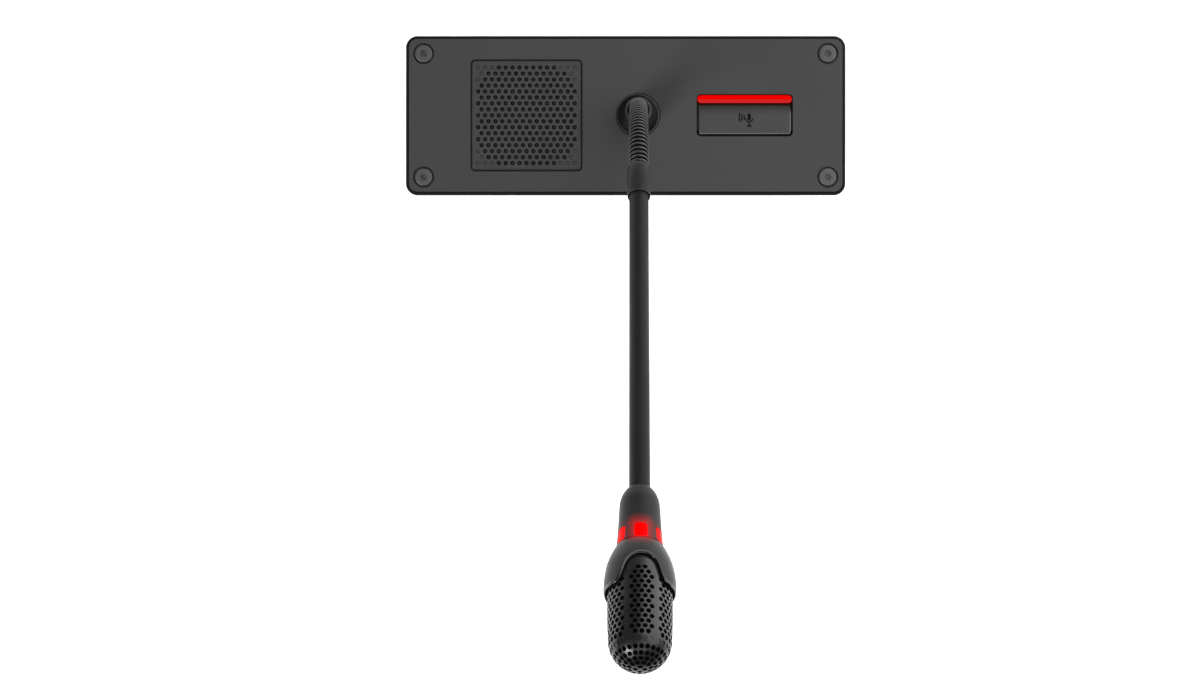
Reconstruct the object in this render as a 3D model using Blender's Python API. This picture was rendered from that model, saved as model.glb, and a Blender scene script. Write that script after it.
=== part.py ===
"""Flush-mounted discussion microphone: a desk panel with a loudspeaker, a talk button and a
gooseneck microphone.

Frame: +Z up out of the desk, +X to the user's right, -Y towards the user. The origin is the
centre of the panel, on the desk surface that its underside rests on. The electronics hang in
a cut-out below the desk surface.
"""
import math

import bmesh
import bpy
from mathutils import Matrix, Vector

MM = 0.001
GAP = 0.3 * MM  # clearance between two pieces that touch

# Desk panel
PANEL_W = 196 * MM
PANEL_D = 71 * MM
PANEL_T = 3.0 * MM
PANEL_CORNER = 5.2 * MM
PANEL_EDGE = 1.5 * MM
POCKET_TOP = 1.0 * MM  # ceiling of the recess in the underside
FIX_X = 90 * MM
FIX_Y = 27.5 * MM
FIX_HEAD_R = 3.9 * MM
FIX_SINK_R = 4.6 * MM
FIX_SINK_Z = 1.1 * MM
FIX_SHANK_R = 2.0 * MM

# Housing under the panel
HOUSING_W = 168 * MM
HOUSING_D = 62 * MM
WALL = 2.0 * MM
HOUSING_BOTTOM = -34 * MM
COVER_T = 2.7 * MM
POST_X = 78.4 * MM
POST_Y = 25.4 * MM
BOSS_R = 3.2 * MM
BOSS_BOTTOM = -6.0 * MM

# Loudspeaker, centred under its grille
SPEAKER_X = -44.2 * MM
GRILLE_W = 49.0 * MM
GRILLE_FLANGE = 55.0 * MM
SPEAKER_SCREW = 26.1 * MM

# Talk button and light bar
KEY_X = 53.0 * MM
KEY_Y = -2.0 * MM
KEY_W = 41.5 * MM
KEY_D = 13.1 * MM
KEY_TOP = 3.3 * MM
BAR_Y = 7.26 * MM
BAR_W = 42.4 * MM
BAR_D = 3.7 * MM
KEY_POCKET_W = 42.8 * MM
KEY_POCKET_D = 18.7 * MM
BOARD_TOP = -5.0 * MM
BOARD_T = 1.6 * MM
BOARD_FIXES = ((31.5 * MM, 13.5 * MM), (74.5 * MM, -12.5 * MM))
BOARD_RESTS = ((74.5 * MM, 13.5 * MM), (31.5 * MM, -12.5 * MM))

# Main board and sockets
MAIN_TOP = -31.4 * MM
SOCKETS_X = (14 * MM, 38 * MM)
SOCKET_W = 16.0 * MM
SOCKET_H = 13.2 * MM
MOUTH_W = 11.8 * MM
MOUTH_L = 14 * MM  # of the cutter, which starts outside the socket
MAIN_FIXES = ((-62 * MM, -18 * MM), (62 * MM, -18 * MM))

# Gooseneck centre line: straight up, an arc towards the user, then straight to the sleeve
NECK_X = 5.6 * MM
NECK_STRAIGHT = 28.0 * MM
NECK_BEND_R = 64.0 * MM
NECK_TURN = math.radians(51.65)
NECK_LENGTH = 93.0 * MM
RIB = 2.26 * MM
RIB_R = 4.08 * MM
GROOVE_R = 3.7 * MM
NECK_BORE_R = 1.5 * MM
LINK_RIBS = 6
END_RIBS = 3
LINKS = 4
END_TAPER = math.radians(12)  # each link end falls back, so neighbours can tilt

# Microphone, along its own axis from the end of the gooseneck
SLEEVE_L = 16.0 * MM
TUBE_R = 3.88 * MM
TUBE_BORE_R = 3.1 * MM
TUBE_START = 8.0 * MM
HEAD_START = 160.3 * MM
HEAD_ROLL = math.radians(3)
WINDOWS = 6
WINDOW_W = 4.75 * MM
WINDOW_START = 19.0 * MM
SEAM = 25.6 * MM  # where the hood meets the head shell
DOME_CENTRE = 63.5 * MM
DOME_R = 11.28 * MM


for old in list(bpy.data.objects):
    bpy.data.objects.remove(old)


def millimetres(points):
    """The same points, given in millimetres, in metres."""
    return [tuple(value * MM for value in point) for point in points]


def material(name, colour, roughness, metallic=0.0, glow=0.0):
    made = bpy.data.materials.new(name)
    made.use_nodes = True
    shader = made.node_tree.nodes["Principled BSDF"]
    shader.inputs["Base Color"].default_value = (*colour, 1)
    shader.inputs["Roughness"].default_value = roughness
    shader.inputs["Metallic"].default_value = metallic
    if glow:
        shader.inputs["Emission Color"].default_value = (*colour, 1)
        shader.inputs["Emission Strength"].default_value = glow
    made.diffuse_color = (*colour, 1)
    return made


def add(name, bm, finish, place=None, cutter=False):
    """A new object from the bmesh, which is freed, with its normals facing out."""
    bmesh.ops.recalc_face_normals(bm, faces=bm.faces)
    mesh = bpy.data.meshes.new(name)
    bm.to_mesh(mesh)
    bm.free()
    made = bpy.data.objects.new(name, mesh)
    bpy.context.scene.collection.objects.link(made)
    if place:
        made.matrix_world = place
    if finish:
        mesh.materials.append(finish)
        mesh.shade_smooth()
        mesh.set_sharp_from_angle(angle=math.radians(32))
    if cutter:
        made.hide_render = True
        made.display_type = 'WIRE'
    return made


def boolean(target, name, operation, *bmeshes):
    """Cuts the bmeshes from the target, or joins them to it. Those given together stay apart."""
    joined = bmesh.new()
    for bm in bmeshes:
        loose = bpy.data.meshes.new("loose")
        bmesh.ops.recalc_face_normals(bm, faces=bm.faces)
        bm.to_mesh(loose)
        bm.free()
        joined.from_mesh(loose)
        bpy.data.meshes.remove(loose)
    helper = add(name, joined, None, cutter=True)
    helper.matrix_world = target.matrix_world
    modifier = target.modifiers.new(name, 'BOOLEAN')
    modifier.operation = operation
    modifier.solver = 'EXACT'
    modifier.object = helper


def rounded_rectangle(width, depth, corner, steps=3):
    """Points round a rectangle with rounded corners, centred on the origin."""
    points = []
    for quarter in range(4):
        x = (width / 2 - corner) * (1, -1, -1, 1)[quarter]
        y = (depth / 2 - corner) * (1, 1, -1, -1)[quarter]
        for step in range(steps + 1):
            angle = math.pi / 2 * (quarter + step / steps)
            points.append((x + corner * math.cos(angle), y + corner * math.sin(angle)))
    return points


def circle(radius, steps):
    angles = [2 * math.pi * step / steps for step in range(steps)]
    return [(radius * math.cos(angle), radius * math.sin(angle)) for angle in angles]


def stacked(rings):
    """A closed bmesh from rings with equal point counts, capped at both ends."""
    bm = bmesh.new()
    made = [[bm.verts.new(point) for point in ring] for ring in rings]
    for low, high in zip(made, made[1:]):
        for i in range(len(low)):
            j = (i + 1) % len(low)
            bm.faces.new((low[i], low[j], high[j], high[i]))
    bm.faces.new(reversed(made[0]))
    bm.faces.new(made[-1])
    return bm


def prism(outline, bottom, top, x=0.0, y=0.0):
    """The outline extruded from bottom to top, moved to x, y."""
    return stacked([[(x + px, y + py, z) for px, py in outline] for z in (bottom, top)])


def rod(radius, bottom, top, x=0.0, y=0.0, steps=10):
    return prism(circle(radius, steps), bottom, top, x, y)


def bar(width, depth, bottom, top, x=0.0, y=0.0):
    outline = [(width / 2, depth / 2), (-width / 2, depth / 2)]
    outline += [(-width / 2, -depth / 2), (width / 2, -depth / 2)]
    return prism(outline, bottom, top, x, y)


def on_axis(distance):
    """Centre, side and front vectors of a straight upright axis."""
    return Vector((0, 0, distance)), Vector((1, 0, 0)), Vector((0, 1, 0))


def on_neck(distance):
    """The same along the gooseneck's centre line, measured from the panel's top face."""
    arc = min(max(distance - NECK_STRAIGHT, 0), NECK_BEND_R * NECK_TURN)
    turn = arc / NECK_BEND_R
    after = max(distance - NECK_STRAIGHT - NECK_BEND_R * NECK_TURN, 0)
    forward = NECK_BEND_R * (1 - math.cos(turn)) + after * math.sin(turn)
    rise = min(distance, NECK_STRAIGHT) + NECK_BEND_R * math.sin(turn) + after * math.cos(turn)
    centre = Vector((NECK_X, -forward, PANEL_T + rise))
    return centre, Vector((1, 0, 0)), Vector((0, math.cos(turn), math.sin(turn)))


def turned(profile, steps=20, axis=on_axis):
    """A closed bmesh from an outline of (radius, distance) points swept round an axis. An
    outline that begins and ends on the axis is solid, and one that stays off it is a ring."""
    bm = bmesh.new()
    rings = []
    for radius, distance in profile:
        centre, side, front = axis(distance)
        if radius < 1e-7:
            rings.append([bm.verts.new(centre)] * steps)
            continue
        spokes = circle(radius, steps)
        rings.append([bm.verts.new(centre + side * x + front * y) for x, y in spokes])
    solid = profile[0][0] < 1e-7
    pairs = list(zip(rings, rings[1:] if solid else rings[1:] + rings[:1]))
    for low, high in pairs:
        for i in range(steps):
            j = (i + 1) % steps
            corners = []
            for corner in (low[i], low[j], high[j], high[i]):
                if corner not in corners:
                    corners.append(corner)
            if len(corners) > 2:
                bm.faces.new(corners)
    return bm


def at(x, y, z=0.0):
    return Matrix.Translation((x, y, z))


def screw(head_r, head_bottom, head_top, shank_r, tip, recess_r, recess_z, steps=8):
    """A pan-head screw, head up, with a round driver recess. Upside down where head_top is
    the lower of the two."""
    return turned([
        (0, tip), (shank_r, tip), (shank_r, head_bottom), (head_r, head_bottom),
        (head_r * 0.94, head_top), (recess_r, head_top), (recess_r, recess_z), (0, recess_z),
    ], steps)


# --- Materials --------------------------------------------------------------------------
panel_coat = material("panel_coat", (0.065, 0.065, 0.067), 0.55)
key_coat = material("key_coat", (0.05, 0.05, 0.052), 0.5)
black_plastic = material("black_plastic", (0.012, 0.012, 0.013), 0.6)
gloss_black = material("gloss_black", (0.008, 0.008, 0.009), 0.2)
neck_skin = material("neck_skin", (0.02, 0.02, 0.021), 0.45)
head_coat = material("head_coat", (0.03, 0.03, 0.031), 0.5)
grille_coat = material("grille_coat", (0.02, 0.02, 0.021), 0.35)
dark_steel = material("dark_steel", (0.12, 0.12, 0.125), 0.4, 1.0)
bright_steel = material("bright_steel", (0.6, 0.6, 0.6), 0.3, 1.0)
brass = material("brass", (0.7, 0.5, 0.22), 0.3, 1.0)
board_green = material("board_green", (0.02, 0.12, 0.05), 0.5)
paper_cone = material("paper_cone", (0.02, 0.02, 0.02), 0.9)
foam = material("foam", (0.01, 0.01, 0.01), 1.0)
soft_rubber = material("soft_rubber", (0.02, 0.02, 0.02), 0.9)
red_lens = material("red_lens", (1.0, 0.02, 0.01), 0.35, glow=1.0)
red_led = material("red_led", (1.0, 0.05, 0.03), 0.4, glow=1.0)


# --- Desk panel --------------------------------------------------------------------------
def front_panel():
    edge_steps = 3
    rings = [[(x, y, 0) for x, y in rounded_rectangle(PANEL_W, PANEL_D, PANEL_CORNER)]]
    for step in range(edge_steps + 1):
        angle = math.pi / 2 * step / edge_steps
        inset = PANEL_EDGE * (1 - math.cos(angle))
        z = PANEL_T - PANEL_EDGE * (1 - math.sin(angle))
        outline = rounded_rectangle(
            PANEL_W - 2 * inset, PANEL_D - 2 * inset, PANEL_CORNER - inset)
        rings.append([(x, y, z) for x, y in outline])
    panel = add("front_panel", stacked(rings), panel_coat)
    low = -5 * MM
    high = PANEL_T + 5 * MM
    recess = rounded_rectangle(HOUSING_W + 2 * GAP, HOUSING_D + 2 * GAP, 2.3 * MM, 2)
    boolean(panel, "panel_recess_cutter", 'DIFFERENCE', prism(recess, low, POCKET_TOP))
    bosses = [rod(BOSS_R, BOSS_BOTTOM, 2 * MM, x, y)
              for x in (-POST_X, POST_X) for y in (-POST_Y, POST_Y)]
    bosses += [rod(2.2 * MM, BOARD_TOP + GAP, 2 * MM, x, y, 8)
               for x, y in BOARD_FIXES + BOARD_RESTS]
    boolean(panel, "panel_bosses", 'UNION', *bosses)
    cuts = [rod(1.6 * MM, -8 * MM, -0.5 * MM, x, y, 8)
            for x in (-POST_X, POST_X) for y in (-POST_Y, POST_Y)]
    cuts += [rod(1.0 * MM, -8 * MM, -1.0 * MM, x, y, 6) for x, y in BOARD_FIXES]
    for x in (-FIX_X, FIX_X):
        for y in (-FIX_Y, FIX_Y):
            hole_r = FIX_SHANK_R + GAP
            cuts.append(turned([
                (0, low), (hole_r, low), (hole_r, FIX_SINK_Z),
                (FIX_SINK_R, FIX_SINK_Z), (FIX_SINK_R, high), (0, high),
            ], 14))
            bmesh.ops.translate(cuts[-1], verts=cuts[-1].verts, vec=(x, y, 0))
    grille_hole = rounded_rectangle(GRILLE_W + 2 * GAP, GRILLE_W + 2 * GAP, 2.0 * MM, 2)
    cuts.append(prism(grille_hole, low, high, SPEAKER_X))
    for x in (-SPEAKER_SCREW, SPEAKER_SCREW):
        for y in (-SPEAKER_SCREW, SPEAKER_SCREW):
            cuts.append(rod(1.2 * MM, low, 2.3 * MM, SPEAKER_X + x, y, 6))
    key_hole = rounded_rectangle(KEY_POCKET_W, KEY_POCKET_D, 1.9 * MM, 2)
    cuts.append(prism(key_hole, low, high, KEY_X))
    cuts.append(turned([
        (0, low), (6.3 * MM, low), (6.3 * MM, 2.3 * MM),
        (9.75 * MM, 2.3 * MM), (9.75 * MM, high), (0, high),
    ], 20))
    bmesh.ops.translate(cuts[-1], verts=cuts[-1].verts, vec=(NECK_X, 0, 0))
    boolean(panel, "panel_holes", 'DIFFERENCE', *cuts)


def panel_screws():
    number = 0
    for x in (-FIX_X, FIX_X):
        for y in (-FIX_Y, FIX_Y):
            number += 1
            shape = screw(FIX_HEAD_R, FIX_SINK_Z + GAP, 3.05 * MM, FIX_SHANK_R, -14 * MM,
                          1.6 * MM, 1.9 * MM, 12)
            add(f"panel_screw_{number}", shape, dark_steel, at(x, y))


# --- Loudspeaker --------------------------------------------------------------------------
def speaker():
    place = at(SPEAKER_X, 0)
    face = rounded_rectangle(GRILLE_W, GRILLE_W, 1.7 * MM, 2)
    inner_face = rounded_rectangle(GRILLE_W - 3 * MM, GRILLE_W - 3 * MM, 0.6 * MM, 2)
    flange = rounded_rectangle(GRILLE_FLANGE, GRILLE_FLANGE, 1.2 * MM, 2)
    low = -0.1 * MM
    grille = add("speaker_grille", stacked([
        [(x, y, low) for x, y in flange], [(x, y, 0.7 * MM) for x, y in flange],
        [(x, y, 0.7 * MM) for x, y in face], [(x, y, 2.9 * MM) for x, y in face],
        [(x, y, 2.9 * MM) for x, y in inner_face],
        [(x, y, 2.6 * MM) for x, y in inner_face],
    ]), panel_coat, place)
    corners = [(x, y) for x in (-SPEAKER_SCREW, SPEAKER_SCREW)
               for y in (-SPEAKER_SCREW, SPEAKER_SCREW)]
    boolean(grille, "grille_back_and_holes", 'DIFFERENCE',
            bar(45 * MM, 45 * MM, -2 * MM, 1.7 * MM),
            *[rod(1.2 * MM, -2 * MM, 1.5 * MM, x, y, 6) for x, y in corners])

    gasket = add("speaker_gasket", prism(
        rounded_rectangle(49 * MM, 49 * MM, 2 * MM, 2), -1.2 * MM, -0.4 * MM), foam, place)
    boolean(gasket, "gasket_hole", 'DIFFERENCE', rod(22.5 * MM, -3 * MM, 2 * MM, steps=16))

    basket = add("speaker_basket", prism(flange, -2.4 * MM, -1.5 * MM), black_plastic, place)
    boolean(basket, "basket_hole", 'DIFFERENCE', rod(22.5 * MM, -3 * MM, 2 * MM, steps=16),
            *[rod(1.2 * MM, -3 * MM, 0, x, y, 6) for x, y in corners])
    boolean(basket, "basket_funnel", 'UNION', turned(millimetres([
        (22, -1.8), (23.2, -1.8), (23.2, -3.6), (14, -13.8), (6.5, -13.8), (6.5, -12.8),
        (13, -12.8), (22, -3.4),
    ]), 16))
    windows = []
    for quarter in range(4):
        window = bar(9 * MM, 14 * MM, -11.2 * MM, -5 * MM, 0, 19 * MM)
        turn = Matrix.Rotation(math.pi / 2 * quarter, 4, 'Z')
        bmesh.ops.transform(window, matrix=turn, verts=window.verts)
        windows.append(window)
    boolean(basket, "basket_windows", 'DIFFERENCE', *windows)

    add("speaker_cone", turned(millimetres([
        (0, -6.2), (3.5, -6.8), (6, -8.6), (20, -2.9), (21.6, -2.6), (21.6, -3.1),
        (20, -3.5), (6, -9.2), (3.5, -7.4), (0, -6.8),
    ]), 16), paper_cone, place)
    add("speaker_magnet", turned(millimetres([
        (0, -14.1), (14.2, -14.1), (15, -14.9), (15, -21.2), (14.2, -22), (0, -22),
    ]), 16), dark_steel, place)
    for number, (x, y) in enumerate(corners, 1):
        shape = screw(2.0 * MM, -2.7 * MM, -4.0 * MM, 0.9 * MM, 1.9 * MM, 0.8 * MM, -3.3 * MM)
        add(f"speaker_screw_{number}", shape, bright_steel, at(SPEAKER_X + x, y))


# --- Talk button and light bar -------------------------------------------------------------
def light_bar():
    stadium = rounded_rectangle(BAR_W, BAR_D, BAR_D / 2 - 0.01 * MM, 3)
    lens = add("light_bar", stacked([
        [(x, y, -3.1 * MM) for x, y in stadium], [(x, y, 2.6 * MM) for x, y in stadium],
        [(x * 0.985, y * 0.84, 3.0 * MM) for x, y in stadium],
    ]), red_lens, at(KEY_X, BAR_Y))
    boolean(lens, "lens_flange", 'UNION',
            bar(44.8 * MM, 4.4 * MM, -0.1 * MM, 0.7 * MM, 0, 0.6 * MM))
    leds = add("light_bar_leds", bar(40 * MM, 2.4 * MM, BOARD_TOP + GAP, -3.9 * MM),
               red_led, at(KEY_X, BAR_Y))
    chips = [bar(3 * MM, 1.6 * MM, -4.2 * MM, -3.4 * MM, (step - 2.5) * 6.8 * MM)
             for step in range(6)]
    boolean(leds, "led_chips", 'UNION', *chips)


def talk_button():
    place = at(KEY_X, KEY_Y)
    corner = 0.9 * MM
    bevel = 0.5 * MM
    low = -0.1 * MM
    outer = rounded_rectangle(KEY_W, KEY_D, corner, 2)
    top = rounded_rectangle(KEY_W - 2 * bevel, KEY_D - 2 * bevel, corner - bevel, 2)
    key = add("talk_button", stacked([
        [(x, y, low) for x, y in outer], [(x, y, KEY_TOP - bevel) for x, y in outer],
        [(x, y, KEY_TOP) for x, y in top],
    ]), key_coat, place)
    inside = rounded_rectangle(KEY_W - 3 * MM, KEY_D - 3 * MM, 0.5 * MM, 2)
    boolean(key, "key_hollow", 'DIFFERENCE', prism(inside, -2 * MM, 1.8 * MM))
    reach = KEY_W / 2 + 0.4 * MM
    boolean(key, "key_tabs_and_stem", 'UNION',
            bar(2.4 * MM, 9 * MM, low, 0.7 * MM, reach),
            bar(2.4 * MM, 9 * MM, low, 0.7 * MM, -reach),
            rod(1.5 * MM, -1.6 * MM, 2.2 * MM, steps=12))
    add("switch_plunger", turned(millimetres([
        (0, -3.4), (1.6, -3.4), (1.6, -2.1), (1.4, -1.9), (0, -1.9),
    ]), 12), soft_rubber, place)
    switch = add("talk_switch", bar(6.2 * MM, 6.2 * MM, BOARD_TOP + GAP, -2.6 * MM),
                 black_plastic, place)
    boolean(switch, "switch_hole", 'DIFFERENCE', rod(1.95 * MM, -4.4 * MM, 0, steps=12))


def button_board():
    board = add("button_board", bar(49 * MM, 32 * MM, BOARD_TOP - BOARD_T, BOARD_TOP,
                                    KEY_X, 0.5 * MM), board_green)
    boolean(board, "button_board_holes", 'DIFFERENCE',
            *[rod(1.2 * MM, -9 * MM, 0, x, y, 8) for x, y in BOARD_FIXES])
    under = BOARD_TOP - BOARD_T - GAP
    for number, (x, y) in enumerate(BOARD_FIXES, 1):
        shape = screw(2.0 * MM, under, under - 1.2 * MM, 0.75 * MM, -1.5 * MM,
                      0.8 * MM, under - 0.6 * MM)
        add(f"board_screw_{number}", shape, bright_steel, at(x, y))


# --- Foot of the gooseneck ------------------------------------------------------------------
def neck_foot():
    place = at(NECK_X, 0)
    add("mic_collar", turned(millimetres([
        (7.6, 2.6), (9.4, 2.6), (9.4, 3.6), (8.6, 3.9), (7.9, 5.6), (7.1, 9), (6.45, 14),
        (6.0, 19), (5.77, 23.6), (5.5, 24), (4.5, 24), (4.5, 9), (7.6, 5.6),
    ]), 20), gloss_black, place)
    add("neck_ferrule", turned(millimetres([
        (2, -9), (6, -9), (6, 2.6), (7.2, 2.6), (7.2, 4.6), (4.45, 4.6), (4.45, -4.5),
        (2, -4.5),
    ]), 14), brass, place)
    add("neck_washer", turned(millimetres([
        (6.3, -0.6), (9, -0.6), (9, 0.7), (6.3, 0.7),
    ]), 14), bright_steel, place)
    nut = add("neck_nut", prism(circle(9.8 * MM, 6), -5.2 * MM, -0.9 * MM), brass, place)
    boolean(nut, "nut_thread", 'DIFFERENCE', rod(6.3 * MM, -8 * MM, 2 * MM, steps=14))


# --- Housing, main board and sockets ----------------------------------------------------------
def housing():
    top = POCKET_TOP - GAP
    shell = add("rear_housing", prism(
        rounded_rectangle(HOUSING_W, HOUSING_D, 2.0 * MM, 2), HOUSING_BOTTOM, top),
        black_plastic)
    boolean(shell, "housing_inside", 'DIFFERENCE',
            bar(HOUSING_W - 2 * WALL, HOUSING_D - 2 * WALL, HOUSING_BOTTOM - MM, top + MM))
    fixes = [(x, y) for x in (-POST_X, POST_X) for y in (-POST_Y, POST_Y)]
    boolean(shell, "housing_posts", 'UNION', *[
        rod(3.8 * MM, HOUSING_BOTTOM, BOSS_BOTTOM - GAP, x, y) for x, y in fixes])
    wall_y = HOUSING_D / 2 - WALL / 2
    socket_z = MAIN_TOP + GAP
    cuts = [rod(1.6 * MM, HOUSING_BOTTOM - MM, 0, x, y, 8) for x, y in fixes]
    for x in SOCKETS_X:
        cuts.append(bar(SOCKET_W + 2 * GAP, 3 * WALL, socket_z - GAP,
                        socket_z + SOCKET_H + GAP, x, wall_y))
    boolean(shell, "housing_cuts", 'DIFFERENCE', *cuts)

    cover_top = HOUSING_BOTTOM - GAP
    cover_bottom = cover_top - COVER_T
    cover = add("rear_cover", prism(
        rounded_rectangle(HOUSING_W, HOUSING_D, 2.0 * MM, 2), cover_bottom, cover_top),
        black_plastic)
    rest = MAIN_TOP - BOARD_T - GAP
    boolean(cover, "cover_standoffs", 'UNION', *[
        rod(2.5 * MM, cover_top - 0.5 * MM, rest, x, y, 8)
        for x, y in MAIN_FIXES + ((-62 * MM, 18 * MM), (66 * MM, 18 * MM))])
    sink = cover_bottom + 1.9 * MM
    cuts = [turned([(0, cover_bottom - MM), (3.2 * MM, cover_bottom - MM), (3.2 * MM, sink),
                    (1.6 * MM, sink), (1.6 * MM, cover_top + MM), (0, cover_top + MM)], 8)
            for _ in fixes]
    for cut, (x, y) in zip(cuts, fixes):
        bmesh.ops.translate(cut, verts=cut.verts, vec=(x, y, 0))
    cuts += [rod(0.9 * MM, cover_top - 1.5 * MM, 0, x, y, 8) for x, y in MAIN_FIXES]
    boolean(cover, "cover_holes", 'DIFFERENCE', *cuts)
    for number, (x, y) in enumerate(fixes, 1):
        shape = screw(2.75 * MM, sink - GAP, cover_bottom, 1.25 * MM, -1.0 * MM,
                      1.1 * MM, cover_bottom + 0.9 * MM)
        add(f"cover_screw_{number}", shape, bright_steel, at(x, y))

    board = add("main_board", bar(146 * MM, 44 * MM, MAIN_TOP - BOARD_T, MAIN_TOP),
                board_green)
    boolean(board, "main_board_chips", 'UNION',
            bar(14 * MM, 14 * MM, MAIN_TOP - 0.5 * MM, MAIN_TOP + 1.4 * MM, -6 * MM, -8 * MM),
            bar(9 * MM, 6 * MM, MAIN_TOP - 0.5 * MM, MAIN_TOP + 1.6 * MM, 30 * MM, -12 * MM),
            rod(4 * MM, MAIN_TOP - 0.5 * MM, MAIN_TOP + 7.5 * MM, 58 * MM, 8 * MM))
    boolean(board, "main_board_holes", 'DIFFERENCE', *[
        rod(1.2 * MM, MAIN_TOP - 5 * MM, MAIN_TOP + MM, x, y, 8) for x, y in MAIN_FIXES])
    for number, (x, y) in enumerate(MAIN_FIXES, 1):
        shape = screw(2.0 * MM, MAIN_TOP + GAP, MAIN_TOP + 1.5 * MM, 0.75 * MM,
                      HOUSING_BOTTOM - 1.0 * MM, 0.8 * MM, MAIN_TOP + 0.9 * MM)
        add(f"main_board_screw_{number}", shape, bright_steel, at(x, y))

    for name, x in zip(("link_socket_in", "link_socket_out"), SOCKETS_X):
        depth = 16 * MM
        middle = HOUSING_D / 2 - depth / 2
        body = add(name, bar(SOCKET_W, depth, socket_z, socket_z + SOCKET_H), dark_steel,
                   at(x, middle))
        mouth = bar(MOUTH_W, MOUTH_L, socket_z + 2 * MM, socket_z + 10.4 * MM, 0,
                    depth / 2 - 5 * MM)
        boolean(body, f"{name}_mouth", 'DIFFERENCE', mouth)


# --- Flexible gooseneck -----------------------------------------------------------------------
def ribs(first_groove, count):
    """The crests and grooves of count ribs, without the outer two grooves."""
    points = []
    for rib in range(count):
        points.append((RIB_R, first_groove + (rib + 0.5) * RIB))
        points.append((GROOVE_R, first_groove + (rib + 1) * RIB))
    return points[:-1]


def gooseneck():
    steps = 10
    half_gap = GAP / 2
    slope = math.tan(END_TAPER)
    pitch = LINK_RIBS * RIB
    first = NECK_LENGTH - END_RIBS * RIB - LINKS * pitch
    root_ribs = 6
    root_start = first - root_ribs * RIB
    bottom = -7 * MM
    add("neck_root_link", turned(
        [(NECK_BORE_R, bottom), (RIB_R, bottom), (RIB_R, root_start)]
        + ribs(root_start, root_ribs)
        + [(NECK_BORE_R, first - half_gap - NECK_BORE_R * slope)], steps, on_neck), neck_skin)
    for link in range(LINKS):
        start = first + link * pitch
        end = start + pitch
        add(f"neck_link_{link + 1}", turned(
            [(NECK_BORE_R, start + half_gap + NECK_BORE_R * slope)]
            + ribs(start, LINK_RIBS)
            + [(NECK_BORE_R, end - half_gap - NECK_BORE_R * slope)], steps, on_neck),
            neck_skin)
    last = first + LINKS * pitch
    spigot_r = 3.2 * MM
    add("neck_end_link", turned(
        [(NECK_BORE_R, last + half_gap + NECK_BORE_R * slope)]
        + ribs(last, END_RIBS)
        + [(RIB_R, NECK_LENGTH - GAP), (spigot_r, NECK_LENGTH - GAP),
           (spigot_r, NECK_LENGTH + TUBE_START - 2 * GAP),
           (NECK_BORE_R, NECK_LENGTH + TUBE_START - 2 * GAP)], steps, on_neck), neck_skin)


# --- Microphone ---------------------------------------------------------------------------------
def along_microphone(distance, roll=0.0):
    """Placement at a distance beyond the end of the gooseneck, with +Z along the axis."""
    end, _, front = on_neck(NECK_LENGTH)
    axis = Vector((1, 0, 0)).cross(front)
    tilt = Matrix.Rotation(NECK_TURN, 4, 'X') @ Matrix.Rotation(-roll, 4, 'Z')
    return Matrix.Translation(end + axis * distance) @ tilt


def stem():
    place = along_microphone(0)
    length = SLEEVE_L / MM
    start = TUBE_START / MM
    add("coupling_sleeve", turned(millimetres([
        (3.5, 0), (4.2, 0), (4.7, 1.6), (5.0, 4.5), (5.06, 8), (4.9, 12),
        (4.58, length), (4.15, length), (4.15, start - 0.4), (3.5, start - 0.4),
    ]), 16), head_coat, place)
    tube_end = HEAD_START + 8.6 * MM
    add("stem_tube", turned([
        (TUBE_BORE_R, TUBE_START), (TUBE_R, TUBE_START), (TUBE_R, tube_end),
        (TUBE_BORE_R, tube_end),
    ], 16), head_coat, place)
    cable_end = HEAD_START + 54.5 * MM
    add("stem_cable", turned([
        (0, TUBE_START + MM), (1.1 * MM, TUBE_START + MM), (1.1 * MM, cable_end),
        (0, cable_end),
    ], 8), soft_rubber, place)


def head_shell():
    shell = add("head_shell", turned(millimetres([
        (4.15, 0.1), (4.45, 0.1), (5.25, 0.9), (6.2, 2.5), (6.8, 4.2), (7.2, 5.8),
        (7.45, 8.8), (7.7, 14.3), (8.05, 20.8), (8.5, 25.3), (7.3, 25.3), (7.0, 19.5),
        (6.4, 9.2), (4.15, 9.0),
    ]), 18), head_coat, along_microphone(HEAD_START, HEAD_ROLL))
    cutters = []
    half = WINDOW_W / 2
    steps = 4
    outline = [(half, 30 * MM), (-half, 30 * MM)]
    for step in range(steps + 1):
        angle = math.pi + math.pi * step / steps
        outline.append((half * math.cos(angle),
                        WINDOW_START + half + half * math.sin(angle)))
    for window in range(WINDOWS):
        cutter = stacked([[(x, r, u) for x, u in outline] for r in (6 * MM, 12 * MM)])
        turn = Matrix.Rotation(2 * math.pi * window / WINDOWS, 4, 'Z')
        bmesh.ops.transform(cutter, matrix=turn, verts=cutter.verts)
        cutters.append(cutter)
    boolean(shell, "head_windows", 'DIFFERENCE', *cutters)
    place = along_microphone(HEAD_START, HEAD_ROLL)
    add("light_ring", turned(millimetres([
        (6.0, 19.4), (6.6, 19.4), (6.9, 26.8), (6.0, 26.8),
    ]), 18), red_lens, place)
    add("head_led_board", turned(millimetres([
        (1.8, 15.5), (6.0, 15.5), (6.0, 16.7), (5.4, 16.7), (5.4, 18.6), (3.9, 18.6),
        (3.9, 16.7), (1.8, 16.7),
    ]), 12), board_green, place)
    add("head_core", turned(millimetres([
        (1.8, 27.1), (7.4, 27.1), (8.4, 28.4), (9.4, 32.2), (1.8, 32.2),
    ]), 12), black_plastic, place)


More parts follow.
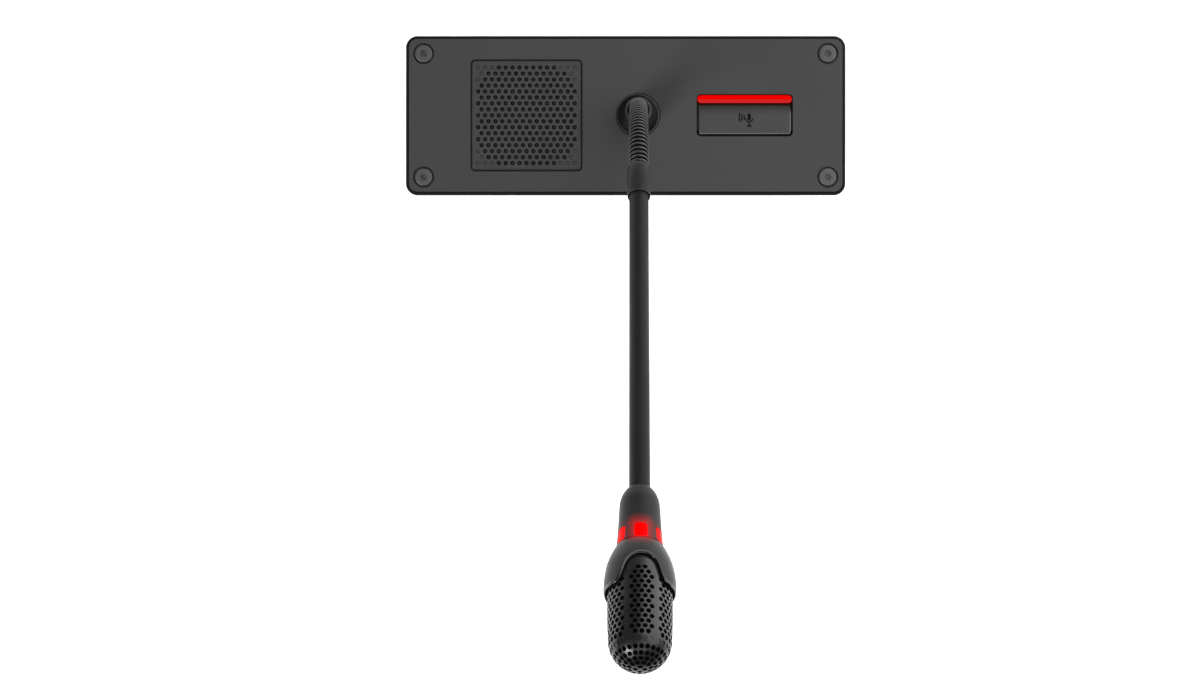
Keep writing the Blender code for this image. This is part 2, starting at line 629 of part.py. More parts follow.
def hood_edge(angle):
    """How far along the head the hood reaches, by the angle in degrees from a scallop's
    middle: an arch in front and behind, with a long petal on each side."""
    angle = abs((angle + 90) % 180 - 90)
    corners = ((0, 34.4), (15, 35.3), (25, 37.0), (30, 39.2), (36, 43.0), (45, 44.3),
               (60, 44.5), (90, 44.2))
    for (a, low), (b, high) in zip(corners, corners[1:]):
        if angle <= b:
            return (low + (high - low) * (angle - a) / (b - a)) * MM
    return corners[-1][1] * MM


def read_off(profile, distance):
    """The radius of a (radius, distance) profile at this distance."""
    for (r0, d0), (r1, d1) in zip(profile, profile[1:]):
        if distance <= d1:
            return r0 + (r1 - r0) * (distance - d0) / (d1 - d0)
    return profile[-1][0]


def head_hood():
    outside = millimetres([(8.6, 25.6), (9.4, 26.9), (10.7, 29.8), (11.75, 32.9),
                           (12.4, 36.1), (12.9, 40.5), (12.9, 46)])
    wall = 0.95 * MM
    inside = [(r - wall, d) for r, d in outside]
    columns = []
    for quarter in range(4):
        for angle in (0, 15, 25, 31, 36, 47, 68):
            columns.append(90 * quarter + (angle if quarter % 2 == 0 else 90 - angle))
    columns = sorted(set(column % 360 for column in columns) | {90, 270})
    parts = (0, 0.12, 0.35, 0.6, 0.8, 0.97)
    start = SEAM
    bm = bmesh.new()
    strips = []
    for column in columns:
        angle = math.radians(column)
        reach = hood_edge(column) - start
        strip = []
        outer = [(part, read_off(outside, start + reach * part)) for part in parts]
        tip = [(1.0, read_off(outside, start + reach) - wall * 0.45)]
        inner = [(part, read_off(inside, start + reach * part)) for part in reversed(parts)]
        for part, radius in outer + tip + inner:
            strip.append(bm.verts.new((radius * math.sin(angle), radius * math.cos(angle),
                                       start + reach * part)))
        strips.append(strip)
    for strip, following in zip(strips, strips[1:] + strips[:1]):
        for i in range(len(strip)):
            j = (i + 1) % len(strip)
            bm.faces.new((strip[i], strip[j], following[j], following[i]))
    add("head_hood", bm, head_coat, along_microphone(HEAD_START, HEAD_ROLL))


def dome(radius, steps=5):
    """(radius, distance) points over the dome, from its equator to its pole."""
    points = []
    for step in range(steps + 1):
        angle = math.pi / 2 * step / steps
        points.append((radius * math.cos(angle), DOME_CENTRE + radius * math.sin(angle)))
    points[-1] = (0, points[-1][1])
    return points


def capsule():
    place = along_microphone(HEAD_START, HEAD_ROLL)
    wall = 0.7 * MM
    outside = millimetres([(10.2, 32.6), (10.9, 35), (11.33, 37.9), (11.54, 42.8),
                           (11.54, 50.6)])
    foam_wall = 1.6 * MM
    for name, finish, low, high in (
        ("mic_grille", grille_coat, 0, wall),
        ("windscreen_foam", foam, wall + GAP, wall + GAP + foam_wall),
    ):
        outer = [(r - low, d) for r, d in outside] + dome(DOME_R - low)
        inner = [(r - high, d) for r, d in outside] + dome(DOME_R - high)
        add(name, turned(outer + inner[::-1], 18), finish, place)
    add("capsule_cradle", turned(millimetres([
        (1.7, 32.5), (5.3, 32.5), (5.3, 34), (3.1, 36), (3.1, 51.5), (6.6, 54.4),
        (6.6, 60.2), (5.2, 60.2), (5.2, 55.2), (1.7, 55.2),
    ]), 12), soft_rubber, place)
    add("mic_capsule", turned(millimetres([
        (0, 55.5), (4.9, 55.5), (4.9, 60.9), (4.5, 61.3), (2.3, 61.3), (2.3, 60.8),
        (0, 60.8),
    ]), 12), bright_steel, place)


front_panel()
panel_screws()
speaker()
light_bar()
talk_button()
button_board()
neck_foot()
housing()
gooseneck()
stem()
head_shell()
head_hood()
capsule()
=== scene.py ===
import math

import bmesh
import bpy
import numpy as np
from mathutils import Matrix, Vector


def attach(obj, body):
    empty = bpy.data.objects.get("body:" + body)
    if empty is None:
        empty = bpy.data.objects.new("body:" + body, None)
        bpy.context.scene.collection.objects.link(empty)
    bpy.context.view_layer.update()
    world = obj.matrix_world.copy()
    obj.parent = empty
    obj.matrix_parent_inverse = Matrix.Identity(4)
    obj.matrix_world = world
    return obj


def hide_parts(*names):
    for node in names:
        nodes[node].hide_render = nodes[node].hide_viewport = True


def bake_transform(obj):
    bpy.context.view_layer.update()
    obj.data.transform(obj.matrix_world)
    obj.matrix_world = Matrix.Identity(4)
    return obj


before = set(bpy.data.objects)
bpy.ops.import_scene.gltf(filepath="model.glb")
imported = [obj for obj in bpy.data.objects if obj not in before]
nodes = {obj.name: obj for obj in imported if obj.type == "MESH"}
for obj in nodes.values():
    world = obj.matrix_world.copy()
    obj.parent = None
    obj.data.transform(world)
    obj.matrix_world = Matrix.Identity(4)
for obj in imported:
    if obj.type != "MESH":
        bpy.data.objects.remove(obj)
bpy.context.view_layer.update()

# --- Camera ---------------------------------------------------------------------------------
# Hangs a metre above the desk, a little on the user's side of the panel, and looks straight
# down. The small sideways shift of the lens sets the panel a little to the right.
camera_data = bpy.data.cameras.new("camera")
camera_data.lens = 67.38
camera_data.sensor_width = 36
camera_data.shift_x = -0.0265
camera_data.clip_end = 20
camera = bpy.data.objects.new("camera", camera_data)
camera.location = (0.00274, -0.1043, 1.003)
bpy.context.scene.collection.objects.link(camera)
bpy.context.scene.camera = camera

# --- Desk and studio light ------------------------------------------------------------------
# A plain white top that the housing stands on, with large soft boxes round it: one broad and
# low from behind on the right, one from the front left, and a weak one overhead.
DESK_HALF, DESK_HEIGHT = 4, -0.03705
desk_mesh = bpy.data.meshes.new("desk")
desk_mesh.from_pydata([(DESK_HALF * x, DESK_HALF * y, DESK_HEIGHT)
                       for x, y in ((-1, -1), (1, -1), (1, 1), (-1, 1))], [], [(0, 1, 2, 3)])
desk = bpy.data.objects.new("desk", desk_mesh)
bpy.context.scene.collection.objects.link(desk)
white_top = bpy.data.materials.new("white_top")
white_top.use_nodes = True
white_top_shader = white_top.node_tree.nodes["Principled BSDF"]
white_top_shader.inputs["Base Color"].default_value = (0.9, 0.9, 0.9, 1)
white_top_shader.inputs["Roughness"].default_value = 0.85
white_top_shader.inputs["Specular IOR Level"].default_value = 0.1
white_top_shader.inputs["Emission Color"].default_value = (1, 1, 1, 1)
white_top_shader.inputs["Emission Strength"].default_value = 0.72
desk_mesh.materials.append(white_top)

for name, towards, distance, size, watts in (
    ("key_box", (-0.578, -0.485, 0.656), 2.2, (0.9, 0.7), 26),
    ("side_box", (0.70, 0.48, 0.52), 0.8, (1.3, 1.2), 7.6),
    ("top_box", (0.15, -0.25, 1.0), 2.2, (1.6, 1.6), 7),
):
    box_data = bpy.data.lights.new(name, "AREA")
    box_data.shape = "RECTANGLE"
    box_data.size, box_data.size_y = size
    box_data.energy = watts
    soft_box = bpy.data.objects.new(name, box_data)
    aim = Vector(towards).normalized()
    soft_box.location = Vector((0, -0.08, 0.05)) + aim * distance
    soft_box.rotation_euler = aim.to_track_quat("Z", "Y").to_euler()
    bpy.context.scene.collection.objects.link(soft_box)

studio = bpy.data.worlds.new("studio")
studio.use_nodes = True
studio_nodes = studio.node_tree.nodes
studio_nodes["Background"].inputs["Color"].default_value = (1, 1, 1, 1)
ray = studio_nodes.new("ShaderNodeLightPath")
dim = studio_nodes.new("ShaderNodeMapRange")
dim.inputs["To Min"].default_value = 0.08
dim.inputs["To Max"].default_value = 1.0
studio.node_tree.links.new(ray.outputs["Is Camera Ray"], dim.inputs["Value"])
studio.node_tree.links.new(dim.outputs["Result"], studio_nodes["Background"].inputs["Strength"])
bpy.context.scene.world = studio
bpy.context.scene.view_settings.view_transform = "Standard"

# --- Desk panel -----------------------------------------------------------------------------
# The moulded plate that covers the cut-out in the desk: filled black plastic with a fine matt
# grain on top and a smooth rounded rim, painted near black as shade. Its openings hold the
# grille, the key and the collar.
MM = 0.001
FLAT = math.radians(32)


def rounded(width, depth, corner, steps=8):
    """Points round a rectangle with rounded corners, centred on the origin."""
    points = []
    for quarter in range(4):
        x = (width / 2 - corner) * (1, -1, -1, 1)[quarter]
        y = (depth / 2 - corner) * (1, 1, -1, -1)[quarter]
        for step in range(steps + 1):
            angle = math.pi / 2 * (quarter + step / steps)
            points.append((x + corner * math.cos(angle), y + corner * math.sin(angle)))
    return points


def circle(radius, steps):
    return [(radius * math.cos(2 * math.pi * step / steps),
             radius * math.sin(2 * math.pi * step / steps)) for step in range(steps)]


def level(bm, outline, height, x=0.0, y=0.0):
    """The points of a flat outline in millimetres, at this height and moved to x, y."""
    return [bm.verts.new(((x + px) * MM, (y + py) * MM, height * MM)) for px, py in outline]


def skin(bm, rings, closed=False):
    """Joins each ring of points to the next with faces, and the last to the first if closed."""
    faces = []
    for low, high in zip(rings, rings[1:] + rings[:1] if closed else rings[1:]):
        for i in range(len(low)):
            j = (i + 1) % len(low)
            corners = list(dict.fromkeys((low[i], low[j], high[j], high[i])))
            if len(corners) > 2:
                faces.append(bm.faces.new(corners))
    return faces


def capped(bm, rings):
    """A solid from rings of points, with a flat face at both ends."""
    skin(bm, rings)
    bm.faces.new(reversed(rings[0]))
    bm.faces.new(rings[-1])
    return bm


def layered(layers, x=0.0, y=0.0):
    """A solid from (outline, height) layers in millimetres, moved to x, y."""
    bm = bmesh.new()
    return capped(bm, [level(bm, outline, height, x, y) for outline, height in layers])


def eased(width, depth, corner, edge, top, steps, reach=1.0, rise=None, parts=8):
    """The upper layers of a block whose top edge is rounded over in this many steps."""
    rise = rise or edge
    layers = []
    for step in range(steps + 1):
        bend = math.pi / 2 * reach * step / steps
        inset = edge * (1 - math.cos(bend))
        layers.append((rounded(width - 2 * inset, depth - 2 * inset, corner - inset, parts),
                       top - rise * (1 - math.sin(bend))))
    return layers


def prism(outline, bottom, top, x=0.0, y=0.0):
    return layered([(outline, bottom), (outline, top)], x, y)


def rod(radius, bottom, top, x=0.0, y=0.0, steps=20):
    return prism(circle(radius, steps), bottom, top, x, y)


def block(width, depth, bottom, top, x=0.0, y=0.0):
    return prism([(width / 2, depth / 2), (-width / 2, depth / 2), (-width / 2, -depth / 2),
                  (width / 2, -depth / 2)], bottom, top, x, y)


def turned(profile, steps=48, x=0.0, y=0.0):
    """A solid from a (radius, height) outline in millimetres swept round an upright axis. One
    that begins and ends on the axis is full, and one that stays off it is a ring."""
    bm = bmesh.new()
    rings = []
    for radius, height in profile:
        if radius < 1e-6:
            rings.append(level(bm, [(0, 0)], height, x, y) * steps)
        else:
            rings.append(level(bm, circle(radius, steps), height, x, y))
    skin(bm, rings, closed=profile[0][0] > 1e-6)
    return bm


def shape(name, bm):
    """A new object from the bmesh, with its faces turned outwards."""
    bmesh.ops.recalc_face_normals(bm, faces=bm.faces)
    mesh = bpy.data.meshes.new(name)
    bm.to_mesh(mesh)
    bm.free()
    made = bpy.data.objects.new(name, mesh)
    bpy.context.scene.collection.objects.link(made)
    return made


def together(solids):
    """Several solids in one bmesh."""
    joined = bmesh.new()
    for solid in solids:
        bmesh.ops.recalc_face_normals(solid, faces=solid.faces)
        loose = bpy.data.meshes.new("loose")
        solid.to_mesh(loose)
        solid.free()
        joined.from_mesh(loose)
        bpy.data.meshes.remove(loose)
    return joined


def carve(work, *tools, how="DIFFERENCE"):
    """Cuts the tools from the work, or joins them to it."""
    helper = shape("tools", together(tools))
    modifier = work.modifiers.new("carve", "BOOLEAN")
    modifier.operation = how
    modifier.solver = "MANIFOLD"
    modifier.object = helper
    bpy.context.view_layer.update()
    ready = work.evaluated_get(bpy.context.evaluated_depsgraph_get())
    carved = bpy.data.meshes.new_from_object(ready)
    work.modifiers.clear()
    blank = work.data
    work.data = carved
    tool_mesh = helper.data
    bpy.data.objects.remove(helper)
    bpy.data.meshes.remove(tool_mesh)
    bpy.data.meshes.remove(blank)
    carved.name = work.name
    return work


def fit(work, finish, body, slot, *stands_for, shaded=False, second=None):
    """Gives a finished shape its material, its body and, unless it is shaded already, its
    shading; the slot is not used. A second material goes on the faces marked 1."""
    marks = [min(face.material_index, 1) if second else 0 for face in work.data.polygons]
    work.data.materials.clear()
    work.data.materials.append(finish)
    if second:
        work.data.materials.append(second)
    work.data.polygons.foreach_set("material_index", marks)
    if not shaded:
        work.data.shade_smooth()
        work.data.set_sharp_from_angle(angle=FLAT)
        modifier = work.modifiers.new("true_flats", "WEIGHTED_NORMAL")
        modifier.keep_sharp = True
    if body:
        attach(work, body)
    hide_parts(*stands_for)
    return work


def ramp(tree, source, first, last, low=0.0, high=1.0, smooth=False):
    """A value that goes from low to high while the source goes from first to last."""
    node = tree.nodes.new("ShaderNodeMapRange")
    if smooth:
        node.interpolation_type = "SMOOTHSTEP"
    for socket, value in zip(("From Min", "From Max", "To Min", "To Max"),
                             (first, last, low, high)):
        node.inputs[socket].default_value = value
    tree.links.new(source, node.inputs["Value"])
    return node.outputs["Result"]


def mixed(tree, share, *tones):
    """A colour between two, each of them three numbers or what another node gives."""
    node = tree.nodes.new("ShaderNodeMixRGB")
    for socket, tone in zip(("Color1", "Color2"), tones):
        if isinstance(tone, bpy.types.NodeSocket):
            tree.links.new(tone, node.inputs[socket])
        else:
            node.inputs[socket].default_value = (*tone, 1)
    tree.links.new(share, node.inputs["Fac"])
    return node.outputs["Color"]


def axes_of(tree):
    """The place of a point on its piece, as three separate values."""
    place = tree.nodes.new("ShaderNodeTexCoord")
    split = tree.nodes.new("ShaderNodeSeparateXYZ")
    tree.links.new(place.outputs["Object"], split.inputs["Vector"])
    return split.outputs


def coat(name, colour, roughness, metallic=0.0, grain=2500, relief=0.012, mottle=0.12,
         wear=0.0, gloss_spread=0.08, specular=0.5):
    """A procedural finish: fine grain, a cloudy change of tone and gloss, rubbed edges."""
    made = bpy.data.materials.new(name)
    made.use_nodes = True
    tree = made.node_tree
    new, link = tree.nodes.new, tree.links.new
    shader = tree.nodes["Principled BSDF"]
    shader.inputs["Metallic"].default_value = metallic
    shader.inputs["Specular IOR Level"].default_value = specular
    place = new("ShaderNodeTexCoord")
    noise = []
    for scale, detail in ((grain, 3), (grain / 40, 4)):
        texture = new("ShaderNodeTexNoise")
        texture.inputs["Scale"].default_value = scale
        texture.inputs["Detail"].default_value = detail
        link(place.outputs["Object"], texture.inputs["Vector"])
        noise.append(texture.outputs["Fac"])
    fine, cloud = noise
    tone = mixed(tree, cloud, [c * (1 - mottle) for c in colour],
                 [c * (1 + mottle) for c in colour])
    gloss = ramp(tree, cloud, 0.3, 0.7, max(roughness - gloss_spread, 0.02),
                 min(roughness + gloss_spread, 1))
    if wear:
        soft_edge = new("ShaderNodeBevel")
        soft_edge.samples = 4
        soft_edge.inputs["Radius"].default_value = 0.25 * MM
        true_face = new("ShaderNodeNewGeometry")
        match = new("ShaderNodeVectorMath")
        match.operation = "DOT_PRODUCT"
        link(soft_edge.outputs["Normal"], match.inputs[0])
        link(true_face.outputs["Normal"], match.inputs[1])
        rubbed = ramp(tree, match.outputs["Value"], 0.995, 0.8, high=wear)
        tone = mixed(tree, rubbed, tone, [min(c * 2.2 + 0.02, 1) for c in colour])
    link(tone, shader.inputs["Base Color"])
    link(gloss, shader.inputs["Roughness"])
    bump = new("ShaderNodeBump")
    bump.inputs["Strength"].default_value = 0.8
    bump.inputs["Distance"].default_value = relief * MM
    link(fine, bump.inputs["Height"])
    link(bump.outputs["Normal"], shader.inputs["Normal"])
    return made


panel_finish = coat("panel_finish", (0.049, 0.049, 0.048), 0.55, grain=3000, relief=0.02,
                    mottle=0.06)
rim_painted_shade = coat("painted_shade_rim", (0.011, 0.011, 0.011), 0.5, grain=1500, relief=0.004,
                  specular=0.05)
PANEL_W, PANEL_D, PANEL_CORNER, PANEL_TOP, PANEL_EDGE, RIM_W = 196, 71, 5.2, 3.0, 1.9, 1.6
NECK_X = 5.6
SPEAKER_X = -44.2
KEY_X = 53.0
POSTS = [(x, y) for x in (-78.4, 78.4) for y in (-25.4, 25.4)]
BOARD_FIXES = ((31.5, 13.5), (74.5, -12.5))
BOARD_RESTS = ((74.5, 13.5), (31.5, -12.5))
FIXES = [(x, y) for x in (-90, 90) for y in (-27.5, 27.5)]
SPEAKER_CORNERS = [(x, y) for x in (-26.1, 26.1) for y in (-26.1, 26.1)]
BELOW, ABOVE = -9, PANEL_TOP + 1


def opening(width, depth, corner, flare, x=0.0):
    """A tool for a hole whose top edge is broken by a chamfer of this width."""
    outside = 2 * (flare + 1)
    return layered([(rounded(width, depth, corner), BELOW),
                    (rounded(width, depth, corner), PANEL_TOP - flare),
                    (rounded(width + outside, depth + outside, corner + outside / 2),
                     ABOVE)], x)


panel = shape("desk_panel", layered(
    [(rounded(PANEL_W, PANEL_D, PANEL_CORNER, 12), 0)]
    + eased(PANEL_W, PANEL_D, PANEL_CORNER, PANEL_EDGE, PANEL_TOP, 8, parts=12)))
carve(panel, prism(rounded(168.6, 62.6, 2.3), -5, 1))
carve(panel, *[rod(3.2, -6, 2, x, y) for x, y in POSTS],
      *[rod(2.2, -4.7, 2, x, y) for x, y in BOARD_FIXES + BOARD_RESTS], how="UNION")
carve(panel, opening(49.6, 49.6, 2.0, 0.35, SPEAKER_X), opening(42.8, 18.7, 1.9, 0.15, KEY_X),
      turned([(0, BELOW), (6.3, BELOW), (6.3, 2.3), (9.75, 2.3), (9.75, 2.85),
              (10.9, ABOVE), (0, ABOVE)], 64, NECK_X),
      *[turned([(0, BELOW), (2.3, BELOW), (2.3, 1.1), (4.6, 1.1), (4.6, 2.8), (5.8, ABOVE),
                (0, ABOVE)], 40, x, y) for x, y in FIXES],
      *[rod(1.6, -8, -0.5, x, y) for x, y in POSTS],
      *[rod(1.0, -8, -1, x, y) for x, y in BOARD_FIXES],
      *[rod(1.2, BELOW, 2.3, SPEAKER_X + x, y) for x, y in SPEAKER_CORNERS])
# Faces of the rounded rim and the sides take the second finish: painted shade, near black.
for face in panel.data.polygons:
    out = Vector((abs(face.center.x) / MM - PANEL_W / 2, abs(face.center.y) / MM - PANEL_D / 2))
    beyond = max(out) + RIM_W
    corner = out + Vector((PANEL_CORNER, PANEL_CORNER))
    if min(corner) > 0:
        beyond = max(beyond, corner.length - PANEL_CORNER + RIM_W)
    face.material_index = 1 if beyond > 0 and abs(face.normal.z) < 0.985 else 0
fit(panel, panel_finish, "base", "panel_coat", "front_panel", second=rim_painted_shade)

# --- Panel screws ---------------------------------------------------------------------------
# Four M4 machine screws in blackened steel, one in each corner, that clamp the panel to the
# desk. Flat heads with a six-lobed drive sit in deep sinks; the threads hang below the panel.
screw_finish = coat("blackened_steel", (0.115, 0.115, 0.117), 0.42, metallic=0.4, grain=2200,
                    relief=0.01, mottle=0.12, wear=0.5)


def threaded(radius, pitch, tip, head_bottom, head, steps=24):
    """A screw pointing down: a shank with a helical thread under a turned head."""
    bm = bmesh.new()
    length = head_bottom - tip
    rows = int(length / pitch * 7)
    rings = []
    for row in range(rows + 1):
        z = tip + length * row / rows
        taper = min(1, 0.72 + 0.28 * (z - tip) / (1.2 * pitch))
        ring = []
        for step in range(steps):
            turn = step / steps
            flank = abs(((z - tip) / pitch - turn) % 1 - 0.5) * 2
            depth = pitch * 0.3 * (1 - min(max(flank * 1.4 - 0.2, 0), 1))
            if row == rows:
                depth = 0
            r = (radius - depth) * taper
            ring.append((r * math.cos(2 * math.pi * turn), r * math.sin(2 * math.pi * turn)))
        rings.append(level(bm, ring, z))
    return capped(bm, rings + [level(bm, circle(r, steps), z) for r, z in head])


lobes = [((1.5 + 0.3 * math.cos(6 * angle)) * math.cos(angle),
          (1.5 + 0.3 * math.cos(6 * angle)) * math.sin(angle))
         for angle in [2 * math.pi * step / 60 for step in range(60)]]
flat_head = [(3.6, 1.4), (3.9, 1.6), (3.9, 2.7), (3.83, 2.87), (3.68, 2.98), (3.4, 3.03),
             (2.4, 3.05), (2.0, 3.05)]
for number, (x, y) in enumerate(FIXES, 1):
    screw = shape(f"panel_fixing_{number}", threaded(2.0, 0.7, -14, 1.4, flat_head, 48))
    carve(screw, prism(lobes, 1.6, 4))
    screw.data.transform(Matrix.Translation((x * MM, y * MM, 0)))
    fit(screw, screw_finish, "base", "screw_black", f"panel_screw_{number}")

# --- Loudspeaker grille ---------------------------------------------------------------------
# A square insert in the panel's own plastic, held from behind. Seventeen rows of countersunk
# sound holes are moulded in its sunk face; those over the corners are only shallow dimples.
grille_finish = coat("grille_insert_finish", (0.047, 0.047, 0.048), 0.5, grain=3000,
                     relief=0.02, mottle=0.06, wear=0.35)
frame_layers = [(rounded(55, 55, 1.2), -0.1), (rounded(55, 55, 1.2), 0.7)]
for width, height in ((48.6, 0.7), (48.6, 2.4), (48.45, 2.68), (48.15, 2.86), (47.9, 2.9),
                      (47.5, 2.9), (47.2, 2.85), (47.0, 2.6)):
    frame_layers.append((rounded(width, width, 1.7 - (49 - width) / 2 * 0.5), height))
insert = shape("speaker_grille_insert", layered(frame_layers, SPEAKER_X))
carve(insert, block(45, 45, -2, 1.7, SPEAKER_X),
      *[rod(1.2, -2, 1.5, SPEAKER_X + x, y) for x, y in SPEAKER_CORNERS])
HOLE_PITCH, ROW_PITCH, FACE, FLOOR, DIMPLE = 3.07, 2.66, 2.6, 1.85, 0.36
ROWS, MOST_HOLES = 17, 15
through, dimples = [], []
for row in range(ROWS):
    count = MOST_HOLES - row % 2
    shut = {0: 3, 1: 1, 2: 1}.get(min(row, ROWS - 1 - row), 0)
    for hole in range(count):
        x = SPEAKER_X + (hole - (count - 1) / 2) * HOLE_PITCH
        y = (ROWS // 2 - row) * ROW_PITCH
        if hole < shut or hole >= count - shut:
            dimples.append(turned([(0, FACE - DIMPLE), (0.74, FACE - DIMPLE), (0.93, FACE),
                                   (0.95, FACE + 1), (0, FACE + 1)], 18, x, y))
        else:
            through.append(turned([(0, 1), (0.2, 1), (0.2, FLOOR), (0.36, FLOOR),
                                   (0.98, FACE), (1.0, FACE + 1), (0, FACE + 1)], 18, x, y))
carve(insert, *through, *dimples)
# The walls inside the sound holes and dimples take the second finish, near-black painted shade.
for face in insert.data.polygons:
    inside = FLOOR * MM < face.center.z < (FACE - 0.1) * MM
    face.material_index = 1 if inside and abs(face.normal.z) < 0.7 else 0
hole_wall = coat("shaded_hole_wall", (0.004, 0.004, 0.004), 0.5, grain=3000, relief=0.01,
                 specular=0.15)
fit(insert, grille_finish, "base", "panel_coat", "speaker_grille", second=hole_wall)

# --- Loudspeaker ----------------------------------------------------------------------------
# Behind the grille: a foam gasket, a moulded basket held by four small screws, a pressed paper
# cone and a sintered ferrite magnet. They show only as darkness behind the sound holes.
moulded_black = coat("moulded_black", (0.014, 0.014, 0.015), 0.55, grain=1800, relief=0.03,
                     wear=0.25)
open_foam = coat("open_cell_foam", (0.006, 0.006, 0.006), 0.95, grain=1400, relief=0.4,
                 mottle=0.5, specular=0.1)
paper = coat("pressed_paper", (0.008, 0.008, 0.008), 0.85, grain=1600, relief=0.05, mottle=0.3,
             specular=0.2)
ferrite = coat("sintered_ferrite", (0.045, 0.045, 0.048), 0.6, grain=1500, relief=0.03,
               mottle=0.25, wear=0.6)
zinc = coat("zinc_plate", (0.56, 0.57, 0.58), 0.32, metallic=1.0, grain=1500, relief=0.01,
            mottle=0.12)


def keep(finish, *names):
    """A piece that keeps its plain form, given its real finish."""
    for name in names:
        piece = nodes[name]
        piece.data.materials.clear()
        piece.data.materials.append(finish)
        for face in piece.data.polygons:
            face.material_index = 0


keep(open_foam, "speaker_gasket")
keep(moulded_black, "speaker_basket")
keep(paper, "speaker_cone")
keep(ferrite, "speaker_magnet")
keep(zinc, *[f"speaker_screw_{number}" for number in range(1, 5)])

# --- Light bar ------------------------------------------------------------------------------
# A crowned strip of red diffusing acrylic, pushed up through the panel and lit from below by
# a row of six light-emitting diodes. Its glow is real; over its front half the red is paler,
# a painted reflection.
BAR_Y, BAR_W, BAR_D = 7.26, 42.1, 3.5


def glowing(name, colour, strength):
    """Lit red plastic: an even glow, slightly cloudy, under a smooth skin."""
    red, green, blue = colour
    made = coat(name, (red * 0.12, green, blue), 0.3, grain=900, relief=0.004, mottle=0.04,
                specular=0.02)
    shader = made.node_tree.nodes["Principled BSDF"]
    shader.inputs["Emission Color"].default_value = (*colour, 1)
    shader.inputs["Emission Strength"].default_value = strength
    return made


LIT_RED, REFLECTION_RED, UNLIT_RED = (0.78, 0.0, 0.0), (0.56, 0.018, 0.018), (0.02, 0.0, 0.0)
bar_finish = glowing("lit_acrylic_bar", LIT_RED, 1.0)
bar_tree = bar_finish.node_tree
bar_axes = axes_of(bar_tree)
# A paler red over the front half of the strip: a painted reflection, mixed into its glow.
front_reflection = ramp(bar_tree, bar_axes["Y"], (BAR_Y - 0.05) * MM, (BAR_Y - 0.45) * MM, smooth=True)
above_panel = ramp(bar_tree, bar_axes["Z"], 2.0 * MM, 2.35 * MM)
bar_tree.links.new(mixed(bar_tree, above_panel, UNLIT_RED,
                         mixed(bar_tree, front_reflection, LIT_RED, REFLECTION_RED)),
                   bar_tree.nodes["Principled BSDF"].inputs["Emission Color"])
crown = [(rounded(BAR_W, BAR_D, BAR_D / 2 - 0.01, 10), -3.1)]
crown += eased(BAR_W, BAR_D, BAR_D / 2 - 0.01, 1.1, 3.0, 6, reach=6 / 7, rise=0.7, parts=10)
strip = shape("light_bar_lens", layered(crown, KEY_X, BAR_Y))
carve(strip, block(44.8, 4.4, -0.1, 0.7, KEY_X, BAR_Y + 0.6), how="UNION")
fit(strip, bar_finish, "base", "light_red", "light_bar")
keep(glowing("lit_diodes", (1.0, 0.06, 0.03), 2.0), "light_bar_leds")

# --- Talk button ----------------------------------------------------------------------------
# A moulded key that dips under the thumb onto a small switch. Its face is as matt as the
# panel and darkens with painted shade towards the scoop by the light bar; two edges carry a
# painted highlight, and a sign of a microphone with waves is sunk in it.
key_finish = coat("key_finish", (0.05, 0.05, 0.051), 0.48, grain=3000, relief=0.018,
                  mottle=0.05, wear=0.4)
key_tree = key_finish.node_tree
key_colour = key_tree.nodes["Principled BSDF"].inputs["Base Color"]
# Painted shade: the key's colour darkens towards the scoop by the light bar.
dip_painted_shade = ramp(key_tree, axes_of(key_tree)["Y"], -0.6 * MM, 4.8 * MM, high=0.9, smooth=True)
key_tree.links.new(mixed(key_tree, dip_painted_shade, key_colour.links[0].from_socket,
                         (0.006, 0.006, 0.006)), key_colour)
sign_finish = coat("sign_ink", (0.004, 0.004, 0.004), 0.6, grain=2500, relief=0.01,
                   specular=0.1)
KEY_Y, KEY_W, KEY_D, KEY_TOP, KEY_CORNER, KEY_EDGE = -2.0, 40.9, 12.7, 3.3, 0.9, 0.5
SIGN_X, SIGN_Y = KEY_X + 0.9, KEY_Y
STROKE = 0.62


def band(path):
    """The outline of a pen stroke of one width along the path."""
    left, right = [], []
    for i, (x, y) in enumerate(path):
        ax, ay = path[max(i - 1, 0)]
        bx, by = path[min(i + 1, len(path) - 1)]
        length = math.hypot(bx - ax, by - ay)
        nx, ny = (ay - by) / length * STROKE / 2, (bx - ax) / length * STROKE / 2
        left.append((x + nx, y + ny))
        right.append((x - nx, y - ny))
    return right + left[::-1]


def arc(x, y, radius, first, last, steps=14):
    return [(x + radius * math.cos(math.radians(first + (last - first) * step / steps)),
             y + radius * math.sin(math.radians(first + (last - first) * step / steps)))
            for step in range(steps + 1)]


sign = [[(px + 1.1, py + 1.2) for px, py in rounded(1.5, 3.2, 0.74, 6)],
        band(arc(1.1, 0.7, 1.65, 180, 360)),
        band([(1.1, -1.25), (1.1, -2.6)]), band([(-0.1, -2.85), (2.3, -2.85)])]
for radius in (2.2, 3.3, 4.4):
    sign.append(band(arc(1.0, 1.0, radius, 180 - 27, 180 + 27)))
key = shape("talk_key_cap", layered(
    [(rounded(KEY_W, KEY_D, KEY_CORNER), -0.1)]
    + eased(KEY_W, KEY_D, KEY_CORNER, KEY_EDGE, KEY_TOP, 5), KEY_X, KEY_Y))
carve(key, prism(rounded(KEY_W - 3, KEY_D - 3, 0.5), -2, 1.8, KEY_X, KEY_Y))
DIP_START, DIP_LENGTH, DIP_DEPTH = 2.2, 4.6, 1.3
dip = [(DIP_START + DIP_LENGTH, 4.5), (DIP_START, 4.5)]
dip += [(DIP_START + DIP_LENGTH * step / 10, KEY_TOP + 0.001 - DIP_DEPTH * (step / 10) ** 2)
        for step in range(11)]
scoop = prism(dip, -22, 22)
